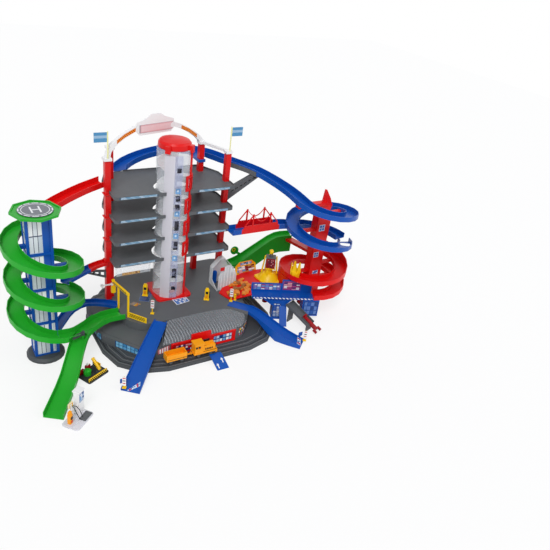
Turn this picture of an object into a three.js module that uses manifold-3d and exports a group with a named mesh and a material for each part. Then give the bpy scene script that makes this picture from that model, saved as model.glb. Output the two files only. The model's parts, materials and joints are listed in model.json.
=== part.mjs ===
// Toy parking garage with a screw lift, four parking decks and three towers of car tracks.
// Millimetres, +Z up. The origin is where the lift's axis meets the floor, and X runs along the fronts of the decks.
import * as THREE from "three";
import { mergeVertices } from "three/addons/utils/BufferGeometryUtils.js";
import Module from "manifold-3d";

const wasm = await Module();
wasm.setup();

// Facets, walls and clearances that every piece shares
const turnSteps = 20;
const roundSteps = 12;
const bendSteps = 3;
const shellWall = 2.4;
const fitGap = 0.3;
const runGap = 0.5;
const cutOver = 6;
const weldReach = 0.0005;

// Tray on the floor and the road block that stands on it
const trayHeight = 15;
const trayTop = 2.4;
const baseLeft = 312;
const baseRight = 338;
const baseFront = 361;
const baseBack = 195;
const baseBackLeft = 190;
const baseBackY = 20;
const frontCorner = 170;
const sideCorner = 110;
const backCorner = 70;
const restPadRadius = 62;
const ribInset = 4;
const ribPlaceX = 150;
const ribPlaceY = 100;
const grooveWidth = 3;
const grooveDepth = 1.2;
const grooveInsets = [12, 34];
const roadHeight = 75;
const roadTop = 2.6;
const roadCorners = [
  [-214, -186, 86],
  [90, -181, 30],
  [172, -197, 40],
  [197, -236, 14],
  [206, -254, 0],
  [222, -232, 14],
  [240, -150, 20],
  [300, -60, 30],
  [300, 172, 40],
  [-150, 172, 50],
  [-214, 60, 50],
];
const ledgeHeight = 45;
const ledgeCorners = [
  [-307, -140, 90],
  [-192, -297, 60],
  [-80, -297, 0],
  [-80, 112, 0],
  [-307, 112, 105],
];
const ledgeGrooveInset = 12;

// Tunnel road in front of the road block, under the clear roof, and the red panel before it
const tunnelWallHeight = 60;
const tunnelCorners = [
  [-142, -297, 0],
  [168, -297, 40],
  [222, -232, 25],
  [222, -150, 0],
  [-84, -150, 0],
];
const roofCrest = 82;
const roofFront = [
  [-139, -294.6],
  [20, -294.6],
  [140, -294.6],
  [170, -286],
  [195, -258],
];
const roofBack = [
  [-80, -187],
  [20, -183.4],
  [104, -184.6],
  [160, -197],
  [190, -233],
];
const roofSkin = 1.8;
const roofRib = 1.4;
const roofRibs = 9;
const fasciaThickness = 4;
const fasciaTop = 59.8;
const fasciaLip = 3;
const fasciaLeftX = -112;
const fasciaRightX = 134;
const fasciaFoot = 16;
const peakLeftX = -39;
const peakRightX = 34;
const peakTop = 81;
const doorLeftX = -14;
const doorRightX = 30;
const doorTop = 52;

// Lift
const liftRadius = 60;
const liftWall = 2;
const liftTop = 640;
const footSize = 136;
const footCorner = 14;
const footThickness = 6;
const screwCore = 13;
const screwPitch = 83;
const flightThickness = 2.4;
const screwTop = 637;
const flightTop = 622;
const flightFoot = 3;
const guideDepth = 5.6;
const guideStart = -141;
const guideEnd = -86;
const guideWindow = 21;
const guideWindowTall = 30;
const guideWindowAngle = -101;
const guideTop = 627;
const capRadius = 57;
const capHeight = 31;
const capSkirt = 7;
const capNubWidth = 18;
const capNubReach = 8;
const capNubDrop = 13;
const nubAngles = [-133, -48];
const gateStart = -70;
const gateEnd = -26;
const gateBar = 8;
const gateHeight = 54;
const gateLift = 4;
const gateRailHalf = 3;
const gateRailTop = 633;
const doorWidth = 44;
const doorHeight = 52;
const doorAngle = 22;

// Decks, posts and the arch over them
const deckLevels = [245, 328, 412, 495];
const deckEdge = 12;
const deckLip = 4;
const deckFloor = 3;
const deckFront = 50;
const deckCorners = [
  [-220, -deckFront, 8],
  [222, -deckFront, 14],
  [222, 93, 12],
  [178, 178, 20],
  [-184, 178, 20],
  [-220, 92, 10],
];
const deckNotch = 67;
const deckBend = 2;
const postWidth = 19;
const postTop = 600;
const postCollar = 4;
const postCollarHeight = 4;
const postPlaces = {
  post_front_left: [-223, 20],
  post_front_right: [211, 12],
  post_back_left: [-180, 125],
  post_back_right: [160, 125],
};
const frontFlange = 13;
const frontFlangeTop = 232;
const signBoardLeft = -216;
const signBoardRight = -92;
const signBoardHeight = 34;
const signBoardThickness = 3;
const signBoardReturn = 12;
const archDepth = 13;
const archHeight = 15;
const archShares = [
  [0, 0],
  [0.02, 0.3],
  [0.09, 0.56],
  [0.28, 0.9],
  [0.5, 1],
  [0.72, 0.78],
  [0.93, 0.3],
  [1, 0],
];
const archRise = 96;
const archFoot = 26;
const archFootHeight = 9;
const sideBeamHeight = 10;
const sideBeamWidth = 9;
const signPlateWidth = 150;
const signPlateHeight = 66;
const signPlateThickness = 5;
const signPlateShare = 0.46;
const signPlateCrown = 12;
const poleRadius = 2.2;
const poleHeight = 88;
const flagWidth = 44;
const flagHeight = 34;
const flagThickness = 1.6;

// Car tracks
const trackWidth = 50;
const trackSide = 17;
const trackWall = 2.4;
const trackFloor = 2.4;
const joinSweep = 54;

// Left tower and its green track
const leftX = -465;
const leftY = -120;
const leftColumnShift = -13;
const leftColumnWide = 76;
const leftColumnDeep = 56;
const leftColumnTop = 508;
const leftPanelDepth = 3;
const leftFrame = 8;
const leftCrossBars = 4;
const leftFootRadius = 60;
const leftFootHeight = 14;
const greenRadius = 93;
const greenStart = 105;
const greenEnd = 1000;
const greenTop = 417;
const greenTopAngle = 144;
const greenPitch = 117;
const greenSway = 15;
const helipadRadius = 73;
const helipadThickness = 9;
const helipadRim = 3;
const helipadRimWidth = 5;
const helipadHub = 26;

// Branch of the green track to the road and to the floor
const forkRoadX = -214.4;
const forkRoadY = -100;
const forkRoadZ = 76;
const forkFloorX = -531;
const forkFloorY = -432;
const forkFloorZ = 2.6;
const forkMeetX = -352;
const forkMeetY = -166;
const forkMeetZ = 96;
const forkMouthWidth = 60;
const forkMouthRise = 0.11;
const flapLength = 40;
const flapThickness = 3;
const flapHeight = 15;
const flapHub = 5;
const flapShare = 0.24;
const flapAside = 16.6;
const flapHeading = 204;

// Blue link between the road and the left tower
const linkWidth = 33;
const linkPath = [
  [-210, -42, 77],
  [-250, -14, 78],
  [-307, 6, 80],
  [-368, -22, 82],
  [-412, -76, 83],
  [-445, -122, 83],
];

// Red tracks between the decks and the left tower
const upperTrackStartX = -220.6;
const upperTrackStartY = 84;
const lowerTrackZ = 225;
const lowerTrackEndAngle = 50;
const lowerTrackTurn = 770;
const trussHeight = 27;
const trussWidth = 14;
const trussReach = 88;
const trussDrop = 28;
const trussShares = [
  [0.05, 0.24],
  [0.3, 0.49],
  [0.55, 0.72],
];
const trussBar = 3;

// Blue arch track over the back of the garage, with its grey cradle and strut
const arcStartX = -140;
const arcStartY = 150;
const arcRise = 60;
const arcShares = [
  [0, 0, 0],
  [0.1, -0.11, 0.3],
  [0.25, -0.16, 0.7],
  [0.42, -0.15, 0.98],
  [0.59, 0, 1.08],
  [0.685, 0.17, 1],
  [0.857, 0.37, 0.69],
  [0.944, 0.58, 0.4],
  [0.99, 0.79, 0.17],
  [1, 1, 0],
];
const clampHeight = 10;
const cradleShares = [0.57, 0.75];
const cradleWall = 2.6;
const cradleSide = 12;
const strutShare = 0.712;
const strutWidth = 18;
const strutDepth = 16;

// Right tower with its blue and red tracks
const rightX = 540;
const rightY = -168;
const rightColumnWide = 62;
const rightColumnDeep = 38;
const rightColumnTop = 412;
const finWidth = 52;
const finHeight = 92;
const finThickness = 8;
const rightRadius = 110;
const blueStart = -170;
const blueEnd = 346;
const blueTop = 414;
const blueTopAngle = -40;
const bluePitch = 124;
const dropAngle = 328;
const dropSize = 40;
const redStart = 68;
const redEnd = -478;
const redStations = [
  [68, 202],
  [20, 190],
  [-40, 174],
  [-116, 163],
  [-170, 161],
  [-213, 158],
  [-300, 134],
  [-400, 109],
  [-440, 102.6],
  [-478, 101],
];
const redCatchWall = 30;
const armWidth = 24;
const armHeight = 12;
const armRise = 30;

// Bridge from the second deck to the right tower
const bridgeStartX = 200;
const bridgeEndX = 400;
const bridgeY = -75.4;
const bridgeRailStart = 246;
const bridgeRailEnd = 388;
const bridgeRailHeight = 12;
const bridgeTowerHeight = 44;
const bridgeTowerWidth = 6;
const bridgeTowerShares = [0.24, 0.76];
const bridgeCableSag = 30;
const bridgeCableThickness = 3;
const bridgeEndAngle = 0;
const bridgeEndZ = 283;
const bridgeLegX = 388;

// Red square between the road and the right tower
const squareThickness = 4;
const squareLevel = 103;
const squareTipZ = 75.4;
const squareRows = [
  [172, -88, 190, -147, squareTipZ],
  [238, -30, 256, -168, 93.4],
  [300, -10, 306, -176, squareLevel],
  [400, -22, 404, -196, squareLevel],
  [452, -60, 470, -206, squareLevel],
  [500, -96, 496, -206, squareLevel],
];
const towerX = 382;
const towerY = -98;
const towerFootRadius = 56;
const towerWaist = 22;
const towerHeight = 118;
const towerBall = 9;
const towerHeadings = [100, 220, 340];
const crownAngle = -164;
const crownRadius = 22;
const crownHeight = 60;
const crownPoints = 5;
const crownWall = 4;

// Blue platform before the right tower
const platformX = 260;
const platformY = -190;
const platformTurn = -23.2;
const platformLength = 237.5;
const platformDepth = 50;
const platformZ = 100;
const platformThickness = 5;
const platformLip = 5;
const platformWallHeight = 34;
const platformWallThickness = 6;
const legShare = 0.354;
const legWide = 54;
const slideReach = 44;
const slideWidth = 28;
const boxShare = 0.842;
const boxWide = 64;
const boxFoot = 22;

// Grey launch chute and its red launcher
const chuteStartX = 400.35;
const chuteStartY = -235.72;
const chuteStartZ = 72.36;
const chuteEndX = 441;
const chuteEndY = -338;
const chuteEndZ = 27;
const chuteWidth = 42;
const chuteSide = 9;
const launcherLength = 82;
const launcherWidth = 14;
const launcherHeight = 10;
const launcherClaw = 34;
const launcherTravel = 24;

// Car wash
const washX = 214;
const washY = -9.2;
const washWide = 84;
const washDeep = 22;
const washWallHeight = 74;
const washPeak = 112;
const washSkin = 2.4;
const washApron = 50;
const washApronHeight = 26;
const rollerRadius = 9;
const rollerHeight = 54;
const rollerBristles = 12;
const rollerInset = 17;

// Green jump ramp and its lever
const jumpStartX = 284;
const jumpStartY = 86;
const jumpEndX = 566;
const jumpEndY = 46;
const jumpEndZ = 203;
const jumpShares = [
  [0, 0, 0],
  [0.25, -0.15, 0.12],
  [0.5, -0.05, 0.46],
  [0.78, 0.4, 0.9],
  [1, 1, 1],
];
const jumpSkirt = 62;
const leverPivotX = 376;
const leverPivotY = 119.5;
const leverPivotZ = 101;
const leverLength = 42;
const leverDisc = 18;
const leverThickness = 5;
const leverTilt = -49;
const leverPin = 4;

// Ramps down to the floor
const rampFloorZ = 2.6;
const frontRampX = -103;
const frontRampY = -183;
const frontRampEndX = -293;
const frontRampEndY = -409;
const frontRampWidth = 44;
const frontRampEndWidth = 62;
const frontRampSide = 6;
const rightRampSkirt = 30;
const rightRampSide = 8;
const rightRamp = [
  [178, -160, 75, 40],
  [207, -190, 73, 42],
  [238, -222, 67, 46],
  [262, -262, 56, 49],
  [284, -305, 42, 52],
  [320, -358, 20, 56],
  [361, -405, 2.6, 58],
];
const smallRampX = 30;
const smallRampWidth = 44;
const smallRampInner = 12;
const smallRampReach = 58;
const smallRampThickness = 2.6;
const rampSignHeight = 34;
const rampSignSize = 16;

// Gantry over the green track's landing, with its boom and fence
const gantryPostX = -198;
const gantryLean = 13;
const gantryPostY1 = -55;
const gantryPostY2 = -118;
const gantryHeight = 98;
const gantryBar = 6;
const gantryOverhang = 34;
const gantryBeamHeight = 10;
const gantryDrop = 22.6;
const drumRadius = 8.5;
const drumHeight = 25;
const fenceEndX = -153;
const fenceEndY = -177;
const fenceHeight = 21;
const boomLength = 38;
const boomBar = 4;

// Train on the track before the red panel
const trainY = -336;
const railGauge = 18;
const wheelRadius = 7;
const wheelWidth = 3;
const axleRadius = 1.6;
const axleHole = 1.66;
const locoX = -8;
const locoLength = 82;
const locoWidth = 31;
const wagonX = -112;
const wagonLength = 72;
const trainFloor = 6;
const locoCab = 40;
const locoHood = 27;
const wagonSide = 18;
const hookGap = 1;

// Filling station that stands by itself
const stationX = -469;
const stationY = -462;
const stationTurn = 40.7;
const stationWide = 88;
const stationDeep = 60;
const stationPlate = 4;
const stationRoofZ = 60;
const stationRoof = 6;
const stationPost = 12;
const stationPump = 13;
const stationPumpHeight = 32;

// Building site that stands by itself
const siteX = -372;
const siteY = -281;
const siteTurn = 27;
const siteWide = 84;
const siteDeep = 62;
const sitePlate = 4;
const siteFenceHeight = 20;
const siteTubeRadius = 9;
const siteTubeLength = 58;
const siteMastHeight = 42;

// Materials
function plastic(color, roughness = 0.4) {
  return new THREE.MeshStandardMaterial({ color, roughness, metalness: 0 });
}
function clearPlastic(color, opacity) {
  return new THREE.MeshStandardMaterial({ color, roughness: 0.12, metalness: 0, transparent: true, opacity });
}
const red = plastic(0xd4161c);
const darkRed = plastic(0xa01820);
const blue = plastic(0x1450b4);
const green = plastic(0x18962e);
const yellow = plastic(0xf6c714);
const orange = plastic(0xf39a1c);
const white = plastic(0xeeeef0);
const grey = plastic(0x55585c, 0.6);
const darkGrey = plastic(0x3c3f44, 0.65);
const clear = clearPlastic(0xdfe8ee, 0.35);

// Corners closer than the weld reach become one, and triangles that shrink to nothing go
function weld(geometry) {
  const merged = mergeVertices(geometry, weldReach);
  const triVerts = [];
  for (let i = 0; i < merged.index.count; i += 3) {
    const [a, b, c] = [merged.index.getX(i), merged.index.getX(i + 1), merged.index.getX(i + 2)];
    if (a !== b && b !== c && c !== a) {
      triVerts.push(a, b, c);
    }
  }
  return { merged, triVerts };
}

// Solids
function solid(geometry) {
  const bare = geometry.index ? geometry.toNonIndexed() : geometry.clone();
  bare.deleteAttribute("normal");
  bare.deleteAttribute("uv");
  const { merged, triVerts } = weld(bare);
  const build = (order) =>
    new wasm.Manifold(
      new wasm.Mesh({
        numProp: 3,
        vertProperties: new Float32Array(merged.attributes.position.array),
        triVerts: new Uint32Array(order),
      }),
    );
  const made = build(triVerts);
  return made.volume() < 0 ? build(triVerts.reverse()) : made;
}

function geometryOf(made) {
  const mesh = made.getMesh();
  const geometry = new THREE.BufferGeometry();
  geometry.setAttribute("position", new THREE.BufferAttribute(new Float32Array(mesh.vertProperties), 3));
  geometry.setIndex(new THREE.BufferAttribute(new Uint32Array(mesh.triVerts), 1));
  const { merged, triVerts } = weld(geometry);
  merged.setIndex(triVerts);
  merged.computeVertexNormals();
  return merged;
}

const garage = new THREE.Group();

function addPart(name, made, material, group = garage) {
  const mesh = new THREE.Mesh(geometryOf(made), material);
  mesh.name = name;
  group.add(mesh);
  return mesh;
}

function join(pieces) {
  return pieces.reduce((whole, piece) => whole.add(piece));
}

function cut(made, cutters) {
  return cutters.reduce((whole, cutter) => whole.subtract(cutter), made);
}

function box(x0, x1, y0, y1, z0, z1) {
  const geometry = new THREE.BoxGeometry(x1 - x0, y1 - y0, z1 - z0);
  return solid(geometry.translate((x0 + x1) / 2, (y0 + y1) / 2, (z0 + z1) / 2));
}

// A box along a heading in degrees, from reach r0 to r1 of a centre
function spoke(x, y, heading, r0, r1, width, z0, z1) {
  const geometry = new THREE.BoxGeometry(r1 - r0, width, z1 - z0);
  geometry.translate((r0 + r1) / 2, 0, (z0 + z1) / 2);
  geometry.rotateZ(THREE.MathUtils.degToRad(heading));
  return solid(geometry.translate(x, y, 0));
}

function post(x, y, radius, z0, z1, sides = roundSteps, topRadius = radius) {
  const geometry = new THREE.CylinderGeometry(topRadius, radius, z1 - z0, sides);
  return solid(geometry.rotateX(Math.PI / 2).translate(x, y, (z0 + z1) / 2));
}

// A round bar along Y
function pinY(x, y0, y1, z, radius, sides = roundSteps) {
  const geometry = new THREE.CylinderGeometry(radius, radius, y1 - y0, sides);
  return solid(geometry.translate(x, (y0 + y1) / 2, z));
}

// A body turned about Z from a closed profile of [radius, height]
function turned(x, y, profile, sides = turnSteps) {
  const points = profile.map(([r, z]) => new THREE.Vector2(r, z));
  return solid(new THREE.LatheGeometry(points, sides).rotateX(Math.PI / 2).translate(x, y, 0));
}

function prism(points, z0, z1) {
  const shape = new THREE.Shape(points.map(([x, y]) => new THREE.Vector2(x, y)));
  const geometry = new THREE.ExtrudeGeometry(shape, { depth: z1 - z0, bevelEnabled: false });
  return solid(geometry.translate(0, 0, z0));
}

// A plate in the XZ plane, from y0 to y1
function plateXZ(points, y0, y1) {
  const shape = new THREE.Shape(points.map(([x, z]) => new THREE.Vector2(x, z)));
  const geometry = new THREE.ExtrudeGeometry(shape, { depth: y1 - y0, bevelEnabled: false });
  return solid(geometry.rotateX(Math.PI / 2).translate(0, y1, 0));
}

// A plate in the YZ plane, from x0 to x1
function plateYZ(points, x0, x1) {
  const shape = new THREE.Shape(points.map(([y, z]) => new THREE.Vector2(y, z)));
  const geometry = new THREE.ExtrudeGeometry(shape, { depth: x1 - x0, bevelEnabled: false });
  return solid(geometry.rotateX(Math.PI / 2).rotateZ(Math.PI / 2).translate(x0, 0, 0));
}

// A wall that follows part of a circle, from heading a0 to a1
function arcWall(x, y, r0, r1, a0, a1, z0, z1, steps = 8) {
  const points = [];
  for (let i = 0; i <= steps; i++) {
    const a = THREE.MathUtils.degToRad(a0 + ((a1 - a0) * i) / steps);
    points.push([x + r1 * Math.cos(a), y + r1 * Math.sin(a)]);
  }
  for (let i = steps; i >= 0; i--) {
    const a = THREE.MathUtils.degToRad(a0 + ((a1 - a0) * i) / steps);
    points.push([x + r0 * Math.cos(a), y + r0 * Math.sin(a)]);
  }
  return prism(points, z0, z1);
}

// An outline with rounded corners, drawn in by inset: corners are [x, y, radius], anticlockwise
function rounded(corners, inset = 0, steps = bendSteps) {
  const outline = [];
  corners.forEach((corner, i) => {
    const before = corners[(i + corners.length - 1) % corners.length];
    const after = corners[(i + 1) % corners.length];
    const a = new THREE.Vector2(corner[0] - before[0], corner[1] - before[1]).normalize();
    const b = new THREE.Vector2(after[0] - corner[0], after[1] - corner[1]).normalize();
    const half = Math.acos(Math.min(1, a.dot(b))) / 2;
    const side = Math.sign(a.cross(b));
    const inward = new THREE.Vector2(-a.y - b.y, a.x + b.x).normalize();
    const at = new THREE.Vector2(corner[0], corner[1]).addScaledVector(inward, inset / Math.cos(half));
    const radius = Math.max(corner[2] - side * inset, 0);
    if (radius === 0) {
      outline.push([at.x, at.y]);
      return;
    }
    const centre = at.clone().addScaledVector(inward, (side * radius) / Math.cos(half));
    const from = Math.atan2(-side * a.x, side * a.y);
    for (let k = 0; k <= steps; k++) {
      const turn = from + (side * 2 * half * k) / steps;
      outline.push([centre.x + radius * Math.cos(turn), centre.y + radius * Math.sin(turn)]);
    }
  });
  return outline;
}

// Cross-sections as [across, up] points, anticlockwise when seen from behind
function channel(width, side = trackSide, floor = trackFloor, wall = trackWall) {
  const h = width / 2;
  return [
    [-h, -floor],
    [h, -floor],
    [h, side],
    [h - wall, side],
    [h - wall, 0],
    [wall - h, 0],
    [wall - h, side],
    [-h, side],
  ];
}

function block(left, right, low, high) {
  return [
    [left, low],
    [right, low],
    [right, high],
    [left, high],
  ];
}

// Sweeps a cross-section along stations of { at, side, section }
function sweep(stations) {
  const count = stations[0].section.length;
  const position = [];
  const index = [];
  for (const { at, side, section } of stations) {
    for (const [across, up] of section) {
      position.push(at.x + side.x * across, at.y + side.y * across, at.z + up);
    }
  }
  for (let i = 0; i + 1 < stations.length; i++) {
    for (let j = 0; j < count; j++) {
      const a = i * count + j;
      const b = i * count + ((j + 1) % count);
      index.push(a, b + count, b, a, a + count, b + count);
    }
  }
  const flat = (section) => THREE.ShapeUtils.triangulateShape(section.map(([x, y]) => new THREE.Vector2(x, y)), []);
  const last = (stations.length - 1) * count;
  for (const [a, b, c] of flat(stations[0].section)) {
    index.push(a, b, c);
  }
  for (const [a, b, c] of flat(stations[stations.length - 1].section)) {
    index.push(last + a, last + c, last + b);
  }
  const geometry = new THREE.BufferGeometry();
  geometry.setAttribute("position", new THREE.BufferAttribute(new Float32Array(position), 3));
  geometry.setIndex(index);
  return solid(geometry);
}

// Stations along points: the side vector stays level and square to the path
function stationsAlong(points, section) {
  return points.map((at, i) => {
    const ahead = points[Math.min(i + 1, points.length - 1)];
    const behind = points[Math.max(i - 1, 0)];
    const run = new THREE.Vector2(ahead.x - behind.x, ahead.y - behind.y).normalize();
    const share = i / (points.length - 1);
    return {
      at,
      side: new THREE.Vector2(run.y, -run.x),
      section: typeof section === "function" ? section(share) : section,
    };
  });
}

// Stations round an axis: z is a function of the angle in degrees
function stationsRound(x, y, radius, from, to, height, section, steps = turnSteps) {
  const count = Math.ceil((Math.abs(to - from) * steps) / 360);
  const stations = [];
  const way = Math.sign(to - from);
  for (let i = 0; i <= count; i++) {
    const angle = from + ((to - from) * i) / count;
    const a = THREE.MathUtils.degToRad(angle);
    stations.push({
      at: new THREE.Vector3(x + radius * Math.cos(a), y + radius * Math.sin(a), height(angle)),
      side: new THREE.Vector2(way * Math.cos(a), way * Math.sin(a)),
      section: typeof section === "function" ? section(angle) : section,
    });
  }
  return stations;
}

// The room that a round track takes up, with its gap, for cutting what meets it end to end
function roundRoom(x, y, radius, from, to, height, steps = turnSteps) {
  const half = trackWidth / 2 + fitGap;
  const spare = THREE.MathUtils.radToDeg(fitGap / radius);
  const way = Math.sign(to - from);
  const room = block(-half, half, -trackFloor * 2, trackSide + fitGap);
  return sweep(stationsRound(x, y, radius, from - way * spare, to + way * spare, height, room, steps));
}

function curveThrough(points) {
  return new THREE.CatmullRomCurve3(
    points.map(([x, y, z]) => new THREE.Vector3(x, y, z)),
    false,
    "centripetal",
  );
}

// Points from start to end, bent by rows of [x share, y share, rise share]
function route(start, end, rise, shares) {
  return shares.map(([sx, sy, sz]) => [
    THREE.MathUtils.lerp(start[0], end[0], sx),
    THREE.MathUtils.lerp(start[1], end[1], sy),
    THREE.MathUtils.lerp(start[2], end[2], sx) + rise * sz,
  ]);
}

// Tray: a shell open below, with grooves for the outer road and a flat pad under the lift
const baseCorners = [
  [-baseLeft, -baseFront, frontCorner],
  [baseRight, -baseFront, frontCorner],
  [baseRight, baseBack, backCorner],
  [-baseBackLeft, baseBack, backCorner],
  [-baseLeft, baseBackY, sideCorner],
];
function makeTray() {
  const outer = prism(rounded(baseCorners), 0, trayHeight);
  const hollow = prism(rounded(baseCorners, shellWall), -cutOver, trayHeight - trayTop);
  const grooves = grooveInsets.map((inset) =>
    prism(rounded(baseCorners, inset), trayHeight - grooveDepth, trayHeight + cutOver).subtract(
      prism(rounded(baseCorners, inset + grooveWidth), 0, trayHeight + cutOver),
    ),
  );
  const ribTop = trayHeight - shellWall / 2;
  const ribHalf = shellWall / 2;
  const ribs = join([
    box(-baseLeft, baseRight, ribPlaceY - ribHalf, ribPlaceY + ribHalf, ribInset, ribTop),
    box(-baseLeft, baseRight, -ribPlaceX - ribHalf, ribHalf - ribPlaceX, ribInset, ribTop),
    box(-ribPlaceX - ribHalf, ribHalf - ribPlaceX, -baseFront, baseBack, ribInset, ribTop),
    box(ribPlaceX - ribHalf, ribPlaceX + ribHalf, -baseFront, baseBack, ribInset, ribTop),
  ]).intersect(outer);
  const pad = post(0, 0, restPadRadius, 0, trayHeight - shellWall / 2, turnSteps);
  return join([cut(outer, [hollow, ...grooves]), ribs, pad]);
}
addPart("base_tray", makeTray(), darkGrey);

// Section of a track that also clears the room above it, for cutting a landing
function landing(points, widthAt, floor = trackFloor) {
  return sweep(
    stationsAlong(points, (share) => {
      const half = widthAt(share) / 2 + fitGap;
      return block(-half, half, -floor - fitGap, roadHeight);
    }).map((station, i) => (i ? station : { ...station, at: stepBack(points[0], points[1]) })),
  );
}
function stepBack(first, next) {
  return first.clone().add(first.clone().sub(next).setZ(0).setLength(fitGap));
}

// Right ramp: its table gives the middle line and the width
const rightRampPoints = rightRamp.map(([x, y, z]) => [x, y, z]);
const rightRampCurve = curveThrough(rightRampPoints);
function rightRampWidth(share) {
  const last = rightRamp.length - 1;
  return THREE.MathUtils.lerp(rightRamp[0][3], rightRamp[last][3], share);
}
const rightRampSteps = 12;
const rightRampLine = rightRampCurve.getPoints(rightRampSteps);

// Front ramp: straight, wider at the floor
const frontRampLine = [0, 0.08, 0.5, 1].map(
  (share) =>
    new THREE.Vector3(
      THREE.MathUtils.lerp(frontRampX, frontRampEndX, share),
      THREE.MathUtils.lerp(frontRampY, frontRampEndY, share),
      THREE.MathUtils.lerp(roadHeight, rampFloorZ, share),
    ),
);
function frontRampWidthAt(share) {
  return THREE.MathUtils.lerp(frontRampWidth, frontRampEndWidth, share);
}

// Doorway into the tunnel through its front wall and the red panel
const tunnelFront = tunnelCorners[0][1];
const tunnelDoor = box(doorLeftX, doorRightX, -baseFront, tunnelFront + shellWall + cutOver, 0, doorTop);

// Road block: ledge, tunnel walls and upper road in one shell, open below
function makeRoad() {
  const ledge = prism(rounded(ledgeCorners), trayHeight, ledgeHeight);
  const ledgeGroove = prism(rounded(ledgeCorners, ledgeGrooveInset), ledgeHeight - grooveDepth, ledgeHeight + cutOver).subtract(
    prism(rounded(ledgeCorners, ledgeGrooveInset + grooveWidth), trayHeight, ledgeHeight + cutOver),
  );
  const front = prism(rounded(tunnelCorners), trayHeight, tunnelWallHeight);
  const road = prism(rounded(roadCorners), trayHeight, roadHeight);
  const below = trayHeight - cutOver;
  const ledgeRoom = prism(rounded(ledgeCorners, shellWall), below, ledgeHeight - roadTop).subtract(
    prism(rounded(tunnelCorners), 0, roadHeight),
  );
  const roadRoom = prism(rounded(roadCorners, shellWall), below, roadHeight - roadTop);
  const tunnel = prism(rounded(tunnelCorners, shellWall), below, roadHeight + cutOver).subtract(
    prism(rounded(roadCorners), 0, roadHeight + cutOver * 2),
  );
  const landings = [landing(rightRampLine, rightRampWidth, trackFloor + trackWall / 2), landing(frontRampLine, frontRampWidthAt)];
  return cut(join([ledge.subtract(ledgeGroove), front, road]), [ledgeRoom, roadRoom, tunnel, tunnelDoor, ...landings]);
}
addPart("road_block", makeRoad(), grey);

// Red panel along the front of the tunnel
function makeFascia() {
  const back = tunnelFront - fitGap;
  const low = trayHeight + fitGap;
  const front = back - fasciaThickness;
  return join([
    box(fasciaLeftX, fasciaRightX, front, back, low, fasciaTop),
    box(fasciaLeftX, fasciaRightX, front - fasciaLip, back, low, fasciaFoot + fasciaLip),
    box(fasciaLeftX, fasciaRightX, front - fasciaLip, back, fasciaTop - fasciaLip, fasciaTop),
    box(peakLeftX, peakRightX, front - fasciaLip, back, low, peakTop),
  ]).subtract(tunnelDoor);
}
addPart("fascia_panel", makeFascia(), red);

// Clear ribbed roof: bowed sections from the tunnel's front wall to the road's edge
function makeRoof() {
  const front = curveThrough(roofFront.map(([x, y]) => [x, y, 0]));
  const back = curveThrough(roofBack.map(([x, y]) => [x, y, 0]));
  const bow = 4;
  const low = tunnelWallHeight + fitGap;
  const section = (share, lift) => {
    const f = front.getPointAt(share);
    const b = back.getPointAt(share);
    const out = new THREE.Vector3().subVectors(f, b).setZ(0).normalize();
    const outer = [];
    const inner = [];
    for (let k = 0; k <= bow; k++) {
      const turn = ((Math.PI / 2) * k) / bow;
      const reach = 1 - Math.cos(turn);
      const at = f.clone().lerp(b, reach);
      const up = (roofCrest - low) * Math.sin(turn) - (roofCrest - roadHeight) * reach * reach;
      const rib = lift * roofRib;
      outer.push([at.x + out.x * rib * Math.cos(turn), at.y + out.y * rib * Math.cos(turn), low + up + rib * Math.sin(turn)]);
      inner.unshift([
        at.x - out.x * roofSkin * Math.cos(turn),
        at.y - out.y * roofSkin * Math.cos(turn),
        low + Math.max(0, up - roofSkin * Math.sin(turn)),
      ]);
    }
    return [...outer, ...inner];
  };
  const rings = [];
  for (let i = 0; i < roofRibs; i++) {
    const step = 1 / roofRibs;
    rings.push(section((i + 0.02) * step, 0), section((i + 0.5) * step, 0), section((i + 0.52) * step, 1));
    rings.push(section((i + 0.98) * step, 1));
  }
  rings.push(section(1, 0));
  const count = rings[0].length;
  const index = [];
  rings.slice(1).forEach((_, i) => {
    for (let j = 0; j < count; j++) {
      const a = i * count + j;
      const b = i * count + ((j + 1) % count);
      index.push(a, b, b + count, a, b + count, a + count);
    }
  });
  const end = (rings.length - 1) * count;
  for (let j = 0; j + 1 < count / 2; j++) {
    const k = count - 1 - j;
    index.push(j, k, j + 1, j + 1, k, k - 1);
    index.push(end + j, end + j + 1, end + k, end + j + 1, end + k - 1, end + k);
  }
  const geometry = new THREE.BufferGeometry();
  geometry.setAttribute("position", new THREE.BufferAttribute(new Float32Array(rings.flat(2)), 3));
  geometry.setIndex(index);
  return solid(geometry).subtract(prism(rounded(roadCorners, -fitGap), 0, roadHeight + fitGap));
}
addPart("tunnel_roof", makeRoof(), clear);

// Red foot plate of the lift, with the rail and the gates that hold cars on the flights
const footTop = roadHeight + footThickness;
function makeGates() {
  const half = footSize / 2;
  const plate = prism(
    rounded([
      [-half, -half, footCorner],
      [half, -half, footCorner],
      [half, half, footCorner],
      [-half, half, footCorner],
    ]),
    roadHeight,
    footTop,
  );
  const r0 = liftRadius + runGap;
  const r1 = liftRadius + guideDepth;
  const middle = (gateStart + gateEnd) / 2;
  const pieces = [plate, arcWall(0, 0, r0, r1, middle - gateRailHalf, middle + gateRailHalf, roadHeight, gateRailTop, 1)];
  for (const level of deckLevels) {
    const low = level + gateLift;
    const high = low + gateHeight;
    pieces.push(
      arcWall(0, 0, r0, r1, gateStart, gateStart + gateBar, low, high, 1),
      arcWall(0, 0, r0, r1, gateEnd - gateBar, gateEnd, low, high, 1),
      arcWall(0, 0, r0, r1, gateStart, gateEnd, low, low + gateBar, 3),
      arcWall(0, 0, r0, r1, gateStart, gateEnd, high - gateBar, high, 3),
    );
  }
  return join(pieces);
}
addPart("lift_gates", makeGates(), red);

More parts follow.
